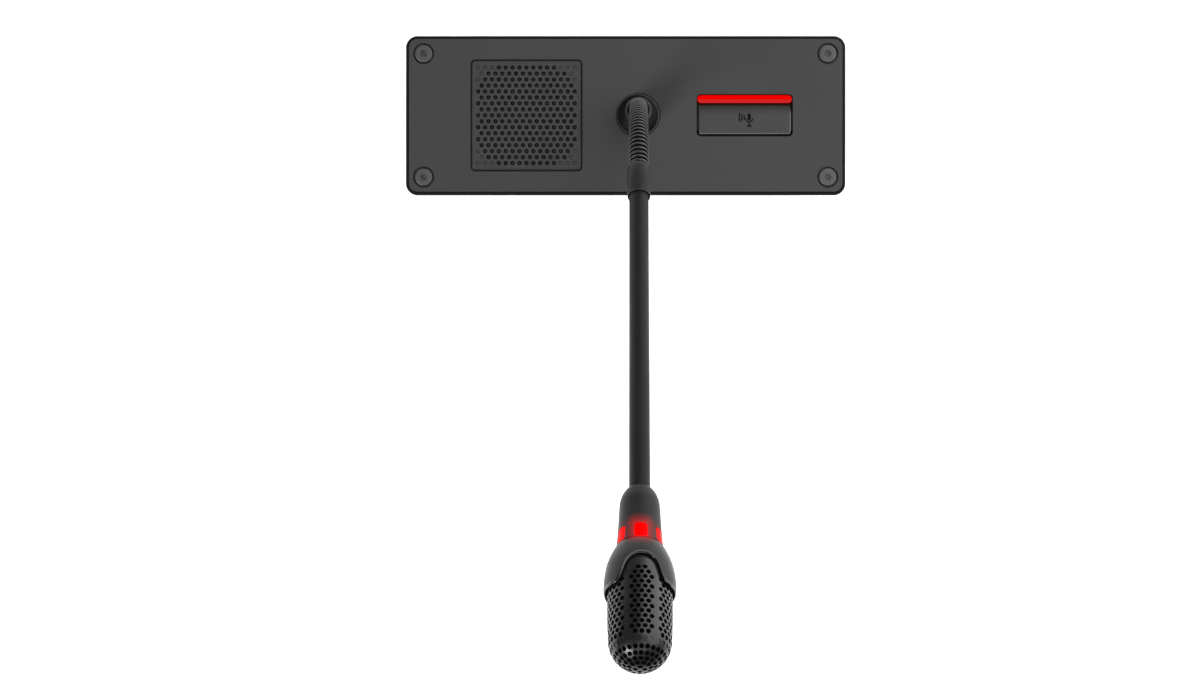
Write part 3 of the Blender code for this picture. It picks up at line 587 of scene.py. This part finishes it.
bmesh.ops.transform(scoop, matrix=Matrix.Translation((KEY_X * MM, KEY_Y * MM, 0))
                    @ Matrix(((0, 0, 1, 0), (1, 0, 0, 0), (0, 1, 0, 0), (0, 0, 0, 1))),
                    verts=scoop.verts)
carve(key, scoop)
for side in (-1, 1):
    carve(key, block(2.4, 9, -0.1, 0.7, KEY_X + side * (KEY_W / 2 + 0.4), KEY_Y), how="UNION")
carve(key, rod(1.5, -1.6, 2.2, KEY_X, KEY_Y), how="UNION")
for outline in sign:
    carve(key, prism(outline, KEY_TOP - 0.12, KEY_TOP + 1, SIGN_X, SIGN_Y))
# The rounded right and front edges take the second finish, a light grey painted highlight.
for face in key.data.polygons:
    aside = face.center.x > (KEY_X + KEY_W / 2 - KEY_EDGE + 0.02) * MM
    near = face.center.y < (KEY_Y - KEY_D / 2 + KEY_EDGE - 0.02) * MM
    face.material_index = 1 if 0.2 < face.normal.z < 0.97 and (aside or near) else 0
key_edge_highlight = coat("key_edge_highlight", (0.22, 0.22, 0.22), 0.3, grain=2500, relief=0.01)
fit(key, key_finish, "talk_key", "key_coat", "talk_button", second=key_edge_highlight)
inlay = shape("talk_sign_inlay", together(
    prism(outline, KEY_TOP - 0.14, KEY_TOP - 0.05, SIGN_X, SIGN_Y) for outline in sign))
fit(inlay, sign_finish, "talk_key", "key_coat")
rubber = coat("soft_rubber_finish", (0.012, 0.012, 0.012), 0.8, grain=1500, relief=0.03)
circuit = coat("solder_mask", (0.01, 0.075, 0.035), 0.38, grain=700, relief=0.02, mottle=0.3)
keep(rubber, "switch_plunger")
keep(moulded_black, "talk_switch")
keep(circuit, "button_board")
keep(zinc, "board_screw_1", "board_screw_2")

# --- Collar and neck mounting ---------------------------------------------------------------
# The collar is a turned and black-lacquered trumpet that stands in a shallow ring in the
# panel. Inside it a brass ferrule, with a washer and nut from below, clamps the gooseneck.


def curve_through(points, parts=5):
    """A smooth outline through the points, with this many short parts between each two."""
    ends = [points[0]] + list(points) + [points[-1]]
    line = []
    for before, start, end, after in zip(ends, ends[1:], ends[2:], ends[3:]):
        for part in range(parts):
            t = part / parts
            line.append(tuple(
                0.5 * (2 * b + (c - a) * t + (2 * a - 5 * b + 4 * c - d) * t * t
                       + (3 * b - a - 3 * c + d) * t ** 3)
                for a, b, c, d in zip(before, start, end, after)))
    return line + [points[-1]]


lacquer = coat("black_lacquer", (0.006, 0.006, 0.007), 0.2, grain=1500, relief=0.003,
               gloss_spread=0.05, wear=0.3, specular=0.3)
trumpet = curve_through([(8.6, 3.9), (7.9, 5.6), (7.1, 9), (6.45, 14), (6.0, 19), (5.77, 23.5)])
collar = [(7.6, 2.6), (9.28, 2.6), (9.4, 2.72), (9.4, 3.35), (9.3, 3.55), (9.1, 3.6),
          (8.8, 3.66)] + trumpet
collar += [(5.72, 23.8), (5.55, 23.97), (5.3, 24.0), (4.75, 24.0), (4.56, 23.9), (4.5, 23.7),
           (4.5, 9), (7.6, 5.6)]
# A grey edge finish that is a painted highlight, for the collar's rims and the sleeve's end.
painted_edge_highlight = coat("painted_edge_highlight", (0.05, 0.05, 0.05), 0.35, grain=1800, relief=0.006,
                  mottle=0.05, wear=0.2)
horn = shape("gooseneck_collar", turned(collar, 96, NECK_X))
for face in horn.data.polygons:
    away = math.hypot(face.center.x - NECK_X * MM, face.center.y)
    mouth = face.center.z > 23.7 * MM and away > 4.7 * MM
    rim = 3.3 * MM < face.center.z < 3.62 * MM and away > 9.0 * MM
    face.material_index = 1 if mouth or rim else 0
fit(horn, lacquer, "base", "collar_gloss", "mic_collar", second=painted_edge_highlight)
turned_brass = coat("turned_brass", (0.62, 0.42, 0.16), 0.28, metallic=1.0, grain=1500,
                    relief=0.01, mottle=0.15, wear=0.3)
keep(turned_brass, "neck_ferrule", "neck_nut")
keep(zinc, "neck_washer")

# --- Gooseneck ------------------------------------------------------------------------------
# A steel spring hose under a thin black skin, so that only its rounded turns show. It bends
# anywhere along its length; here it is built as five lengths, each spanning one of the joints.
NECK_STRAIGHT, NECK_BEND, NECK_TURN, NECK_LENGTH = 28.0, 64.0, math.radians(51.65), 93.0
TURN_PITCH, CREST, VALLEY, BORE = 2.26, 4.08, 3.15, 1.5
TURN_HALF, ROWS_PER_TURN, GROOVE_DEPTH = 0.345, 16, 0.22


def on_neck(distance):
    """Centre and upper-side direction at a distance along the gooseneck from the panel."""
    turn = min(max(distance - NECK_STRAIGHT, 0), NECK_BEND * NECK_TURN) / NECK_BEND
    after = max(distance - NECK_STRAIGHT - NECK_BEND * NECK_TURN, 0)
    forward = NECK_BEND * (1 - math.cos(turn)) + after * math.sin(turn)
    rise = min(distance, NECK_STRAIGHT) + NECK_BEND * math.sin(turn) + after * math.cos(turn)
    return (Vector((NECK_X, -forward, PANEL_TOP + rise)),
            Vector((0, math.cos(turn), math.sin(turn))))


def hose(first, last, steps=56):
    """A length of ribbed hose with a plain bore, closed at both ends in a groove."""
    bm = bmesh.new()
    line = [(BORE, first)]
    rows = round((last - first) / TURN_PITCH * ROWS_PER_TURN)
    for row in range(rows + 1):
        distance = first + (last - first) * row / rows
        phase = ((NECK_LENGTH - distance) / TURN_PITCH) % 1
        off = min(abs(phase - 0.5) / TURN_HALF, 1)
        swell = math.sqrt(1 - off ** 2.6)
        line.append((VALLEY + (CREST - VALLEY) * swell, distance))
    line.append((BORE, last))
    rings = []
    for radius, distance in line:
        centre, upper = on_neck(distance)
        rings.append([bm.verts.new((centre + Vector((px, 0, 0)) + upper * py) * MM)
                      for px, py in circle(radius, steps)])
    skin(bm, rings, closed=True)
    return bm


neck_finish = coat("hose_skin", (0.026, 0.026, 0.027), 0.33, grain=2000, relief=0.01,
                   mottle=0.1, gloss_spread=0.05)
# Painted shade for the deep grooves between the turns: near black and without gloss.
groove_painted_shade = coat("hose_groove_shade", (0.002, 0.002, 0.002), 0.8, grain=2000, relief=0.01,
                     specular=0.0)
FIRST_HINGE, HINGE_STEP, HOSE_START = 31.98, 13.56, -7.0
HOSE_END = NECK_LENGTH - 0.1
covered = [("neck_root_link",), ("neck_link_1",), ("neck_link_2",), ("neck_link_3",),
           ("neck_link_4", "neck_end_link")]
half_link = 3 * TURN_PITCH
for number in range(5):
    hinge = FIRST_HINGE + HINGE_STEP * number
    start = hinge - half_link if number else HOSE_START
    end = hinge + half_link if number < 4 else HOSE_END
    length = shape(f"gooseneck_hose_{number + 1}", hose(start, end))
    middles = [on_neck(start + part * 0.5)[0] for part in range(int((end - start) * 2) + 2)]
    # Faces deep in the grooves take the second finish, the painted shade.
    for face in length.data.polygons:
        depth = CREST - min((face.center / MM - middle).length for middle in middles)
        face.material_index = 1 if depth > GROOVE_DEPTH else 0
    length.data.shade_smooth()
    fit(length, neck_finish, None, "neck_skin", *covered[number], shaded=True,
        second=groove_painted_shade)
    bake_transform(length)

# --- Sleeve and stem ------------------------------------------------------------------------
# The sleeve is a moulded barrel that grips the end of the gooseneck. The stem is a plain thin
# steel tube, powder coated, pushed into it, with the signal cable running inside.


def along_stem(distance, roll=0.0):
    """Placement at a distance beyond the gooseneck's end, with +Z along the microphone."""
    end, upper = on_neck(NECK_LENGTH)
    axis = Vector((1, 0, 0)).cross(upper)
    tilt = Matrix.Rotation(NECK_TURN, 4, "X") @ Matrix.Rotation(-roll, 4, "Z")
    return Matrix.Translation((end + axis * distance) * MM) @ tilt


def lay(work, place):
    work.data.transform(place)
    return work


stem_finish = coat("powder_coat", (0.017, 0.017, 0.0175), 0.42, grain=2600, relief=0.02,
                   mottle=0.06, gloss_spread=0.04, specular=0.12)
sleeve_finish = coat("sleeve_finish", (0.029, 0.029, 0.0295), 0.45, grain=2600, relief=0.02,
                     mottle=0.06, gloss_spread=0.05, specular=0.1)
barrel = [(3.5, 0), (4.08, 0), (4.2, 0.12)]
barrel += curve_through([(4.28, 0.4), (4.7, 1.8), (5.0, 4.5), (5.06, 8), (4.9, 12),
                         (4.62, 15.6)])[1:]
barrel += [(4.61, 15.8), (4.57, 15.94), (4.5, 16), (4.44, 15.96), (4.42, 15.8), (4.4, 12),
           (4.15, 11.6), (4.15, 7.6), (3.5, 7.6)]
sleeve = shape("sleeve", turned(barrel, 72))
# The rounded end rim takes the second finish, a grey painted highlight.
for face in sleeve.data.polygons:
    face.material_index = 1 if face.center.z > 15.6 * MM and face.normal.z > 0.05 else 0
fit(lay(sleeve, along_stem(0)), sleeve_finish, "microphone", "stem_coat", "coupling_sleeve",
    second=painted_edge_highlight)
tube = [(3.1, 8), (3.88, 8)] + [(3.88, 8 + 160.9 * part / 12) for part in range(1, 12)]
tube += [(3.88, 168.9), (3.1, 168.9)]
fit(lay(shape("stem", turned(tube, 72)), along_stem(0)), stem_finish, "microphone",
    "stem_coat", "stem_tube")
keep(rubber, "stem_cable")

# --- Microphone head shell ------------------------------------------------------------------
# A moulded black shell that swells from the stem to the hood. Six slots round its wide end,
# just short of the hood, let the red light ring shine out; a painted red glow, strong at two
# opposite slots and weak at the other four, tints the shell near them.
HEAD_START, HEAD_ROLL = 160.3, math.radians(3)
WINDOW_W, WINDOW_START, WINDOW_END, SEAM, WINDOWS = 4.75, 19.0, 25.1, 25.6, 6
GLOW_INSET, GLOW_REACH, SIDE_GLOW = 0.4, 5.6, 0.12
head_place = along_stem(HEAD_START, HEAD_ROLL)


def true_round(work, outline, place):
    """Shades a turned surface as round as it is, also between the holes cut in it."""
    mesh = work.data
    mesh.shade_smooth()
    mesh.set_sharp_from_angle(angle=FLAT)
    points = np.empty(len(mesh.vertices) * 3)
    mesh.vertices.foreach_get("co", points)
    points = points.reshape(-1, 3) / MM
    radius = np.hypot(points[:, 0], points[:, 1])
    line = np.array(outline, float)
    along = line[1:] - line[:-1]
    length = np.hypot(along[:, 0], along[:, 1])
    across = np.stack([along[:, 1], -along[:, 0]], 1) / length[:, None]
    joint = np.vstack([across[:1], across[:-1] + across[1:], across[-1:]])
    joint /= np.hypot(joint[:, 0], joint[:, 1])[:, None]
    best = np.full(len(points), 1e9)
    normal = np.zeros((len(points), 2))
    for i in range(len(along)):
        offset = np.stack([radius, points[:, 2]], 1) - line[i]
        share = np.clip(offset @ along[i] / length[i] ** 2, 0, 1)
        gap = np.linalg.norm(offset - share[:, None] * along[i], axis=1)
        nearer = gap < best
        best[nearer] = gap[nearer]
        between = joint[i] * (1 - share[:, None]) + joint[i + 1] * share[:, None]
        normal[nearer] = between[nearer]
    safe = np.maximum(radius, 1e-6)
    full = np.stack([normal[:, 0] * points[:, 0] / safe, normal[:, 0] * points[:, 1] / safe,
                     normal[:, 1]], 1)
    corners = np.array([corner.vector for corner in mesh.corner_normals])
    for face in mesh.polygons:
        for loop in face.loop_indices:
            vertex = mesh.loops[loop].vertex_index
            if best[vertex] < 0.03 and Vector(full[vertex]).dot(face.normal) > 0.75:
                corners[loop] = full[vertex]
    mesh.normals_split_custom_set(corners.tolist())
    return lay(work, place)


def window_tools(width, start):
    """Six radial slots with rounded corners, spaced evenly round the head."""
    side, wide, narrow, inner, outer = width / 2, 1.55, 0.8, 5.5, 12
    outline = arc(wide - side, start + wide, wide, 180, 270, 8)
    outline += arc(side - wide, start + wide, wide, 270, 360, 8)
    outline += arc(side - narrow, WINDOW_END - narrow, narrow, 0, 90, 5)
    outline += arc(narrow - side, WINDOW_END - narrow, narrow, 90, 180, 5)
    tools = []
    upright = Matrix(((1, 0, 0, 0), (0, 0, 1, 0), (0, 1, 0, 0), (0, 0, 0, 1)))
    for window in range(WINDOWS):
        tool = prism(outline, inner, outer)
        turn = Matrix.Rotation(2 * math.pi / WINDOWS * window, 4, "Z")
        bmesh.ops.transform(tool, matrix=turn @ upright, verts=tool.verts)
        tools.append(tool)
    return tools


def red_glow(work):
    """Measures at each point how near the lit slots are, for the painted glow that tints the
    shell.
    """
    values = []
    for vertex in work.data.vertices:
        x, y, u = vertex.co / MM
        best = 0
        for window in range(WINDOWS):
            turn = math.atan2(-x, y) - 2 * math.pi / WINDOWS * window
            turn = (turn + math.pi) % (2 * math.pi) - math.pi
            aside = max(abs(turn) * math.hypot(x, y) - WINDOW_W / 2 + GLOW_INSET, 0)
            past = max(WINDOW_START + GLOW_INSET - u, u - WINDOW_END + GLOW_INSET, 0)
            share = SIDE_GLOW if window % 3 else 1
            best = max(best, share * max(0, 1 - math.hypot(aside, past) / GLOW_REACH) ** 2)
        values.append(best)
    glow = work.data.attributes.new("red_glow", "FLOAT", "POINT")
    glow.data.foreach_set("value", values)


def let_glow(finish, strength):
    """Adds a painted red glow near the slots to a finish, as emission."""
    tree = finish.node_tree
    shader = tree.nodes["Principled BSDF"]
    measure = tree.nodes.new("ShaderNodeAttribute")
    measure.attribute_name = "red_glow"
    tree.links.new(mixed(tree, measure.outputs["Fac"], (0, 0, 0), (1, 0, 0)),
                   shader.inputs["Emission Color"])
    shader.inputs["Emission Strength"].default_value = strength


shell_side = curve_through([(4.6, 0.1), (5.25, 0.95), (6.2, 2.5), (6.8, 4.2), (7.2, 5.8),
                            (7.45, 8.8), (7.7, 14.3), (8.05, 20.8), (8.48, 25.1)], 9)
shell_side.append((8.42, 25.3))
shell = shape("head_shell_body", turned(
    [(4.15, 0.1)] + shell_side + [(7.3, 25.3), (7.0, 19.5), (6.4, 9.2), (4.15, 9)], 120))
carve(shell, *window_tools(WINDOW_W, WINDOW_START))
red_glow(shell)
true_round(shell, shell_side, head_place)
shell_finish = coat("shell_finish", (0.026, 0.026, 0.0265), 0.42, grain=2600, relief=0.02,
                    mottle=0.06, specular=0.15)
let_glow(shell_finish, 0.52)
fit(shell, shell_finish, "microphone", "head_coat", "head_shell", shaded=True)

# --- Light ring -----------------------------------------------------------------------------
# A ring of red diffusing acrylic with six pads that fill the slots of the shell, lit from
# behind by diodes on a small round board.
ring_finish = glowing("lit_acrylic_ring", (0.95, 0.0, 0.0), 1.3)
pads = shape("light_ring_lens", turned(
    [(6.3, 18.2)] + [(r - 0.1, u) for r, u in shell_side if u > 17] + [(6.3, 25.3)], 96))
carve(pads, *window_tools(WINDOW_W - 0.2, WINDOW_START + 0.1), how="INTERSECT")
carve(pads, turned([(6.0, 19.4), (6.6, 19.4), (6.9, 26.8), (6.0, 26.8)], 96), how="UNION")
fit(lay(pads, head_place), ring_finish, "microphone", "light_red", "light_ring")
keep(circuit, "head_led_board")
keep(moulded_black, "head_core")

# --- Hood -----------------------------------------------------------------------------------
# A moulded skirt that flares from the shell over the grille. An arch is cut in front and
# behind, leaving a long petal on each side, and its free edge is rolled to a bright round lip,
# polished and painted darker than the hood as shade over the gap to the grille.


def hood_reach(angle):
    """How far along the head the hood's edge lies, by the angle in degrees from an arch."""
    angle = abs((angle + 90) % 180 - 90)
    knots = ((0, 34.4), (8, 34.6), (15, 35.3), (21, 36.2), (25, 37.2), (28, 38.5), (31, 40.2),
             (34, 41.9), (38, 43.6), (41, 44.4), (45, 44.9), (55, 45.2), (65, 44.9), (75, 44.5),
             (90, 44.2))
    for (a, low), (b, high) in zip(knots, knots[1:]):
        if angle <= b:
            return low + (high - low) * (angle - a) / (b - a)
    return knots[-1][1]


def radius_at(outline, distance):
    for (r0, d0), (r1, d1) in zip(outline, outline[1:]):
        if distance <= d1:
            return r0 + (r1 - r0) * (distance - d0) / (d1 - d0)
    return outline[-1][0]


hood_side = curve_through([(8.55, 25.6), (9.38, 26.9), (10.7, 29.8), (11.75, 32.9),
                           (12.4, 36.1), (12.85, 40.5), (12.9, 46)])
HOOD_WALL, LIP_LENGTH, SIDE_PARTS, LIP_PARTS = 0.95, 1.1, 20, 8
LIP_RADIUS = HOOD_WALL / 2
hood_bm = bmesh.new()
strips = []
for column in range(240):
    angle = column * 1.5
    run = sum(hood_reach(angle + k) for k in (-2, -1, 0, 1, 2)) / 5 - SEAM - LIP_LENGTH
    turn = math.radians(angle)
    outer = []
    for part in range(SIDE_PARTS + 1):
        distance = SEAM + run * (1 - (1 - part / SIDE_PARTS) ** 1.3)
        outer.append((radius_at(hood_side, distance), distance))
    strip = list(outer)
    middle = radius_at(hood_side, SEAM + run + LIP_LENGTH) - LIP_RADIUS
    for step in range(1, LIP_PARTS + 1):
        bend = math.pi * step / (LIP_PARTS + 1)
        strip.append((middle + LIP_RADIUS * math.cos(bend),
                      SEAM + run + LIP_LENGTH * math.sin(bend)))
    strip += [(r - HOOD_WALL, u) for r, u in reversed(outer)]
    strips.append([hood_bm.verts.new((r * math.sin(turn) * MM, r * math.cos(turn) * MM,
                                      u * MM)) for r, u in strip])
# The rolled lip and the edge of its inside take the second finish: a real polish, painted
# darker as shade.
for number, side in enumerate(skin(hood_bm, strips, closed=True)):
    on_lip = SIDE_PARTS <= number % len(strip) <= SIDE_PARTS + LIP_PARTS + 2
    side.material_index = 1 if on_lip else 0
hood_finish = coat("hood_finish", (0.024, 0.024, 0.0245), 0.36, grain=2600, relief=0.012,
                   mottle=0.06, wear=0.25, specular=0.18)
lip_gloss_and_shade = coat("polished_lip_painted_shade", (0.006, 0.006, 0.006), 0.24, grain=1500, relief=0.002,
                  gloss_spread=0.03, specular=0.9)
# The hood also takes the painted red glow near the slots.
let_glow(hood_finish, 0.5)
hood = shape("grille_hood", hood_bm)
red_glow(hood)
fit(lay(hood, head_place), hood_finish, "microphone", "head_coat", "head_hood",
    second=lip_gloss_and_shade)

# --- Microphone grille ----------------------------------------------------------------------
# A domed cap pressed from thin steel and painted black. Staggered round holes are punched in
# four bands along it, front, back and sides, and in rings over the dome.
GRILLE_SIDE = curve_through([(10.2, 32.6), (10.9, 35), (11.33, 37.9), (11.54, 42.8),
                             (11.54, 50.6)], 4)
DOME_CENTRE, DOME_R, GRILLE_WALL, PUNCH_R = 63.5, 11.2, 0.7, 0.91
FIRST_ROW, ROW_STEP, PUNCH_ANGLE = 39.96, 1.972, 12


def with_dome(inset):
    side = [(r - inset, u) for r, u in GRILLE_SIDE]
    side.append((11.46 - inset, 56.8))
    for step in range(17):
        bend = math.pi / 2 * step / 16
        side.append(((DOME_R - inset) * math.cos(bend) if step < 16 else 0,
                     DOME_CENTRE + (DOME_R - inset) * math.sin(bend)))
    return side


grille_line = with_dome(0)
grille = shape("microphone_grille", turned(grille_line + with_dome(GRILLE_WALL)[::-1], 120))
punches = []


def punch(angle, distance, lean=None, low=8.5):
    """A round punch through the wall: square to the side, or leaning over the dome."""
    tool = rod(PUNCH_R, low, 13.5, steps=14)
    if lean is None:
        turn = Matrix.Rotation(math.radians(90), 4, "X")
        move = Matrix.Translation((0, 0, distance * MM))
    else:
        turn = Matrix.Rotation(math.radians(lean), 4, "X")
        move = Matrix.Translation((0, 0, DOME_CENTRE * MM))
    around = Matrix.Rotation(math.radians(180 + angle), 4, "Z")
    bmesh.ops.transform(tool, matrix=move @ around @ turn, verts=tool.verts)
    punches.append(tool)


for band_middle, columns in ((0, 4), (90, 10), (180, 4), (270, 10)):
    for row in range(14):
        many = columns - row % 2 if row else columns - 2
        for hole in range(many):
            punch(band_middle + (hole - (many - 1) / 2) * PUNCH_ANGLE,
                  FIRST_ROW + ROW_STEP * row)
    for hole in range(columns):
        punch(band_middle + (hole - (columns - 1) / 2) * PUNCH_ANGLE, 0, 66, DOME_R - 0.3)
for lean, many in ((8.6, 4), (19.8, 11), (29.5, 16), (40, 22), (52, 26)):
    for hole in range(many):
        punch(360 / many * (hole + 0.5 * (many % 2)), 0, lean)
carve(grille, *punches)
true_round(grille, grille_line, head_place)
grille_paint = coat("grille_paint", (0.013, 0.013, 0.0135), 0.27, grain=2200, relief=0.004,
                    mottle=0.08, gloss_spread=0.05, specular=0.7)
fit(grille, grille_paint, "microphone", "grille_coat", "mic_grille", shaded=True)

# --- Inside the grille ----------------------------------------------------------------------
# A cap of open foam against the grille stops wind noise. Behind it a rubber cradle holds the
# small nickel-plated condenser capsule.
keep(open_foam, "windscreen_foam")
keep(rubber, "capsule_cradle")
keep(zinc, "mic_capsule")

# --- Housing --------------------------------------------------------------------------------
# A deep moulded tray that hangs in the desk under the panel and holds the electronics. Vent
# slots run along both long walls, and the wall behind has the openings for the link sockets.
WALL, HOUSING_W, HOUSING_D, HOUSING_BOTTOM, HOUSING_TOP = 2.0, 168.0, 62.0, -34.0, 0.7
GROOVE_LOW = -2.6
SOCKETS_X, SOCKET_W, SOCKET_H, SOCKET_LOW = (14, 38), 16.0, 13.2, -31.1
tray = shape("housing_tray", layered([
    (rounded(HOUSING_W - 2 * inset, HOUSING_D - 2 * inset, 2.0 - inset), height)
    for inset, height in ((0.3, HOUSING_BOTTOM), (0, HOUSING_BOTTOM + 0.4), (0, GROOVE_LOW),
                          (0.4, GROOVE_LOW + 0.01), (0.4, GROOVE_LOW + 0.49),
                          (0, GROOVE_LOW + 0.5), (0, HOUSING_TOP))]))
carve(tray, block(HOUSING_W - 2 * WALL, HOUSING_D - 2 * WALL, HOUSING_BOTTOM - 1,
                  HOUSING_TOP + 1))
carve(tray, *[rod(3.8, HOUSING_BOTTOM, -6.3, x, y) for x, y in POSTS], how="UNION")
side_cuts = [rod(1.6, HOUSING_BOTTOM - 1, 0, x, y) for x, y in POSTS]
for x in SOCKETS_X:
    side_cuts.append(block(SOCKET_W + 0.6, 6, SOCKET_LOW - 0.3, SOCKET_LOW + SOCKET_H + 0.3, x,
                           HOUSING_D / 2 - 1))
for side, slots in ((-1, range(-12, 13)), (1, [n for n in range(-12, 13) if n < 0 or n > 9])):
    for slot in slots:
        side_cuts.append(block(1.6, 6, -16, -5, slot * 5, side * (HOUSING_D / 2 - 1)))
carve(tray, *side_cuts)
fit(tray, moulded_black, "base", "black_plastic", "rear_housing")

# --- Bottom cover ---------------------------------------------------------------------------
# A flat moulded lid, screwed on from below with four self-tapping screws in sunk seats. It has
# a row of vents, and a shallow blank field where a rating plate would go.
cover = shape("bottom_cover", layered([
    (rounded(HOUSING_W - 1.2, HOUSING_D - 1.2, 1.5), -37.0),
    (rounded(HOUSING_W, HOUSING_D, 2.0), -36.4), (rounded(HOUSING_W, HOUSING_D, 2.0), -34.5),
    (rounded(HOUSING_W - 0.4, HOUSING_D - 0.4, 1.8), -34.3)]))
MAIN_FIXES = ((-62, -18), (62, -18))
carve(cover, *[rod(2.5, -34.8, -33.3, x, y)
               for x, y in MAIN_FIXES + ((-62, 18), (66, 18))], how="UNION")
OUTSIDE, INSIDE, SEAT = -38, -33, -35.1
cover_cuts = [turned([(0, OUTSIDE), (3.5, OUTSIDE), (3.2, -36.7), (3.2, SEAT), (1.6, SEAT),
                      (1.6, INSIDE), (0, INSIDE)], 32, x, y) for x, y in POSTS]
cover_cuts += [rod(0.9, -35.8, 0, x, y) for x, y in MAIN_FIXES]
cover_cuts += [block(1.6, 16, OUTSIDE, INSIDE, 40 + n * 4.2, 0) for n in range(-3, 4)]
cover_cuts.append(prism(rounded(52, 30, 2), OUTSIDE, -36.7, -28))
carve(cover, *cover_cuts)
fit(cover, moulded_black, "base", "black_plastic", "rear_cover")
cross = [(1.5, 0.3), (0.3, 0.3), (0.3, 1.5), (-0.3, 1.5), (-0.3, 0.3), (-1.5, 0.3),
         (-1.5, -0.3), (-0.3, -0.3), (-0.3, -1.5), (0.3, -1.5), (0.3, -0.3), (1.5, -0.3)]
pan_head = [(2.6, 35.4), (2.75, 35.5), (2.75, 36.3), (2.6, 36.6), (2.2, 36.85), (1.8, 36.97)]
for number, (x, y) in enumerate(POSTS, 1):
    tapping = shape(f"cover_fixing_{number}", threaded(1.25, 0.9, 1.0, 35.4, pan_head, 32))
    carve(tapping, prism(cross, 36, 38))
    tapping.data.transform(Matrix.Translation((x * MM, y * MM, 0))
                           @ Matrix.Rotation(math.pi, 4, "X"))
    fit(tapping, zinc, "base", "zinc_steel", f"cover_screw_{number}")

# --- Main board and link sockets ------------------------------------------------------------
# The board carries the amplifier and two shielded sockets for the cables that chain one unit
# to the next. Each socket is a folded plated can round a black insert with eight contacts.
keep(circuit, "main_board")
keep(zinc, "main_board_screw_1", "main_board_screw_2")
gold = coat("gold_flash", (0.75, 0.52, 0.16), 0.25, metallic=1.0, grain=1500, relief=0.005)
opening_line = [(5.9, 4.6), (-5.9, 4.6), (-5.9, -1.4), (-3.2, -1.4), (-3.2, -2.6),
                (-2.0, -2.6), (-2.0, -3.8), (2.0, -3.8), (2.0, -2.6), (3.2, -2.6),
                (3.2, -1.4), (5.9, -1.4)]
for name, x in zip(("link_socket_in", "link_socket_out"), SOCKETS_X):
    can = shape(f"{name}_can", layered([
        (rounded(SOCKET_W, SOCKET_H, 0.5), 0), (rounded(SOCKET_W, SOCKET_H, 0.5), 15.8),
        (rounded(SOCKET_W - 0.4, SOCKET_H - 0.4, 0.4), 16)]))
    carve(can, prism(opening_line, 4, 17, 0, -0.4))
    stand = Matrix.Translation((x * MM, 15 * MM, (SOCKET_LOW + SOCKET_H / 2) * MM)) \
        @ Matrix.Rotation(-math.pi / 2, 4, "X")
    fit(lay(can, stand), zinc, "base", "zinc_steel", name)
    tongue = shape(f"{name}_insert", block(11.4, 1.0, 4.05, 13.5, 0, 2.6))
    fit(lay(tongue, stand), moulded_black, "base", "black_plastic")
    for contact in range(8):
        spring = shape(f"{name}_contact_{contact + 1}",
                       block(0.5, 0.3, 4.1, 13.0, (contact - 3.5) * 1.2, 1.93))
        fit(lay(spring, stand), gold, "base", "brass")
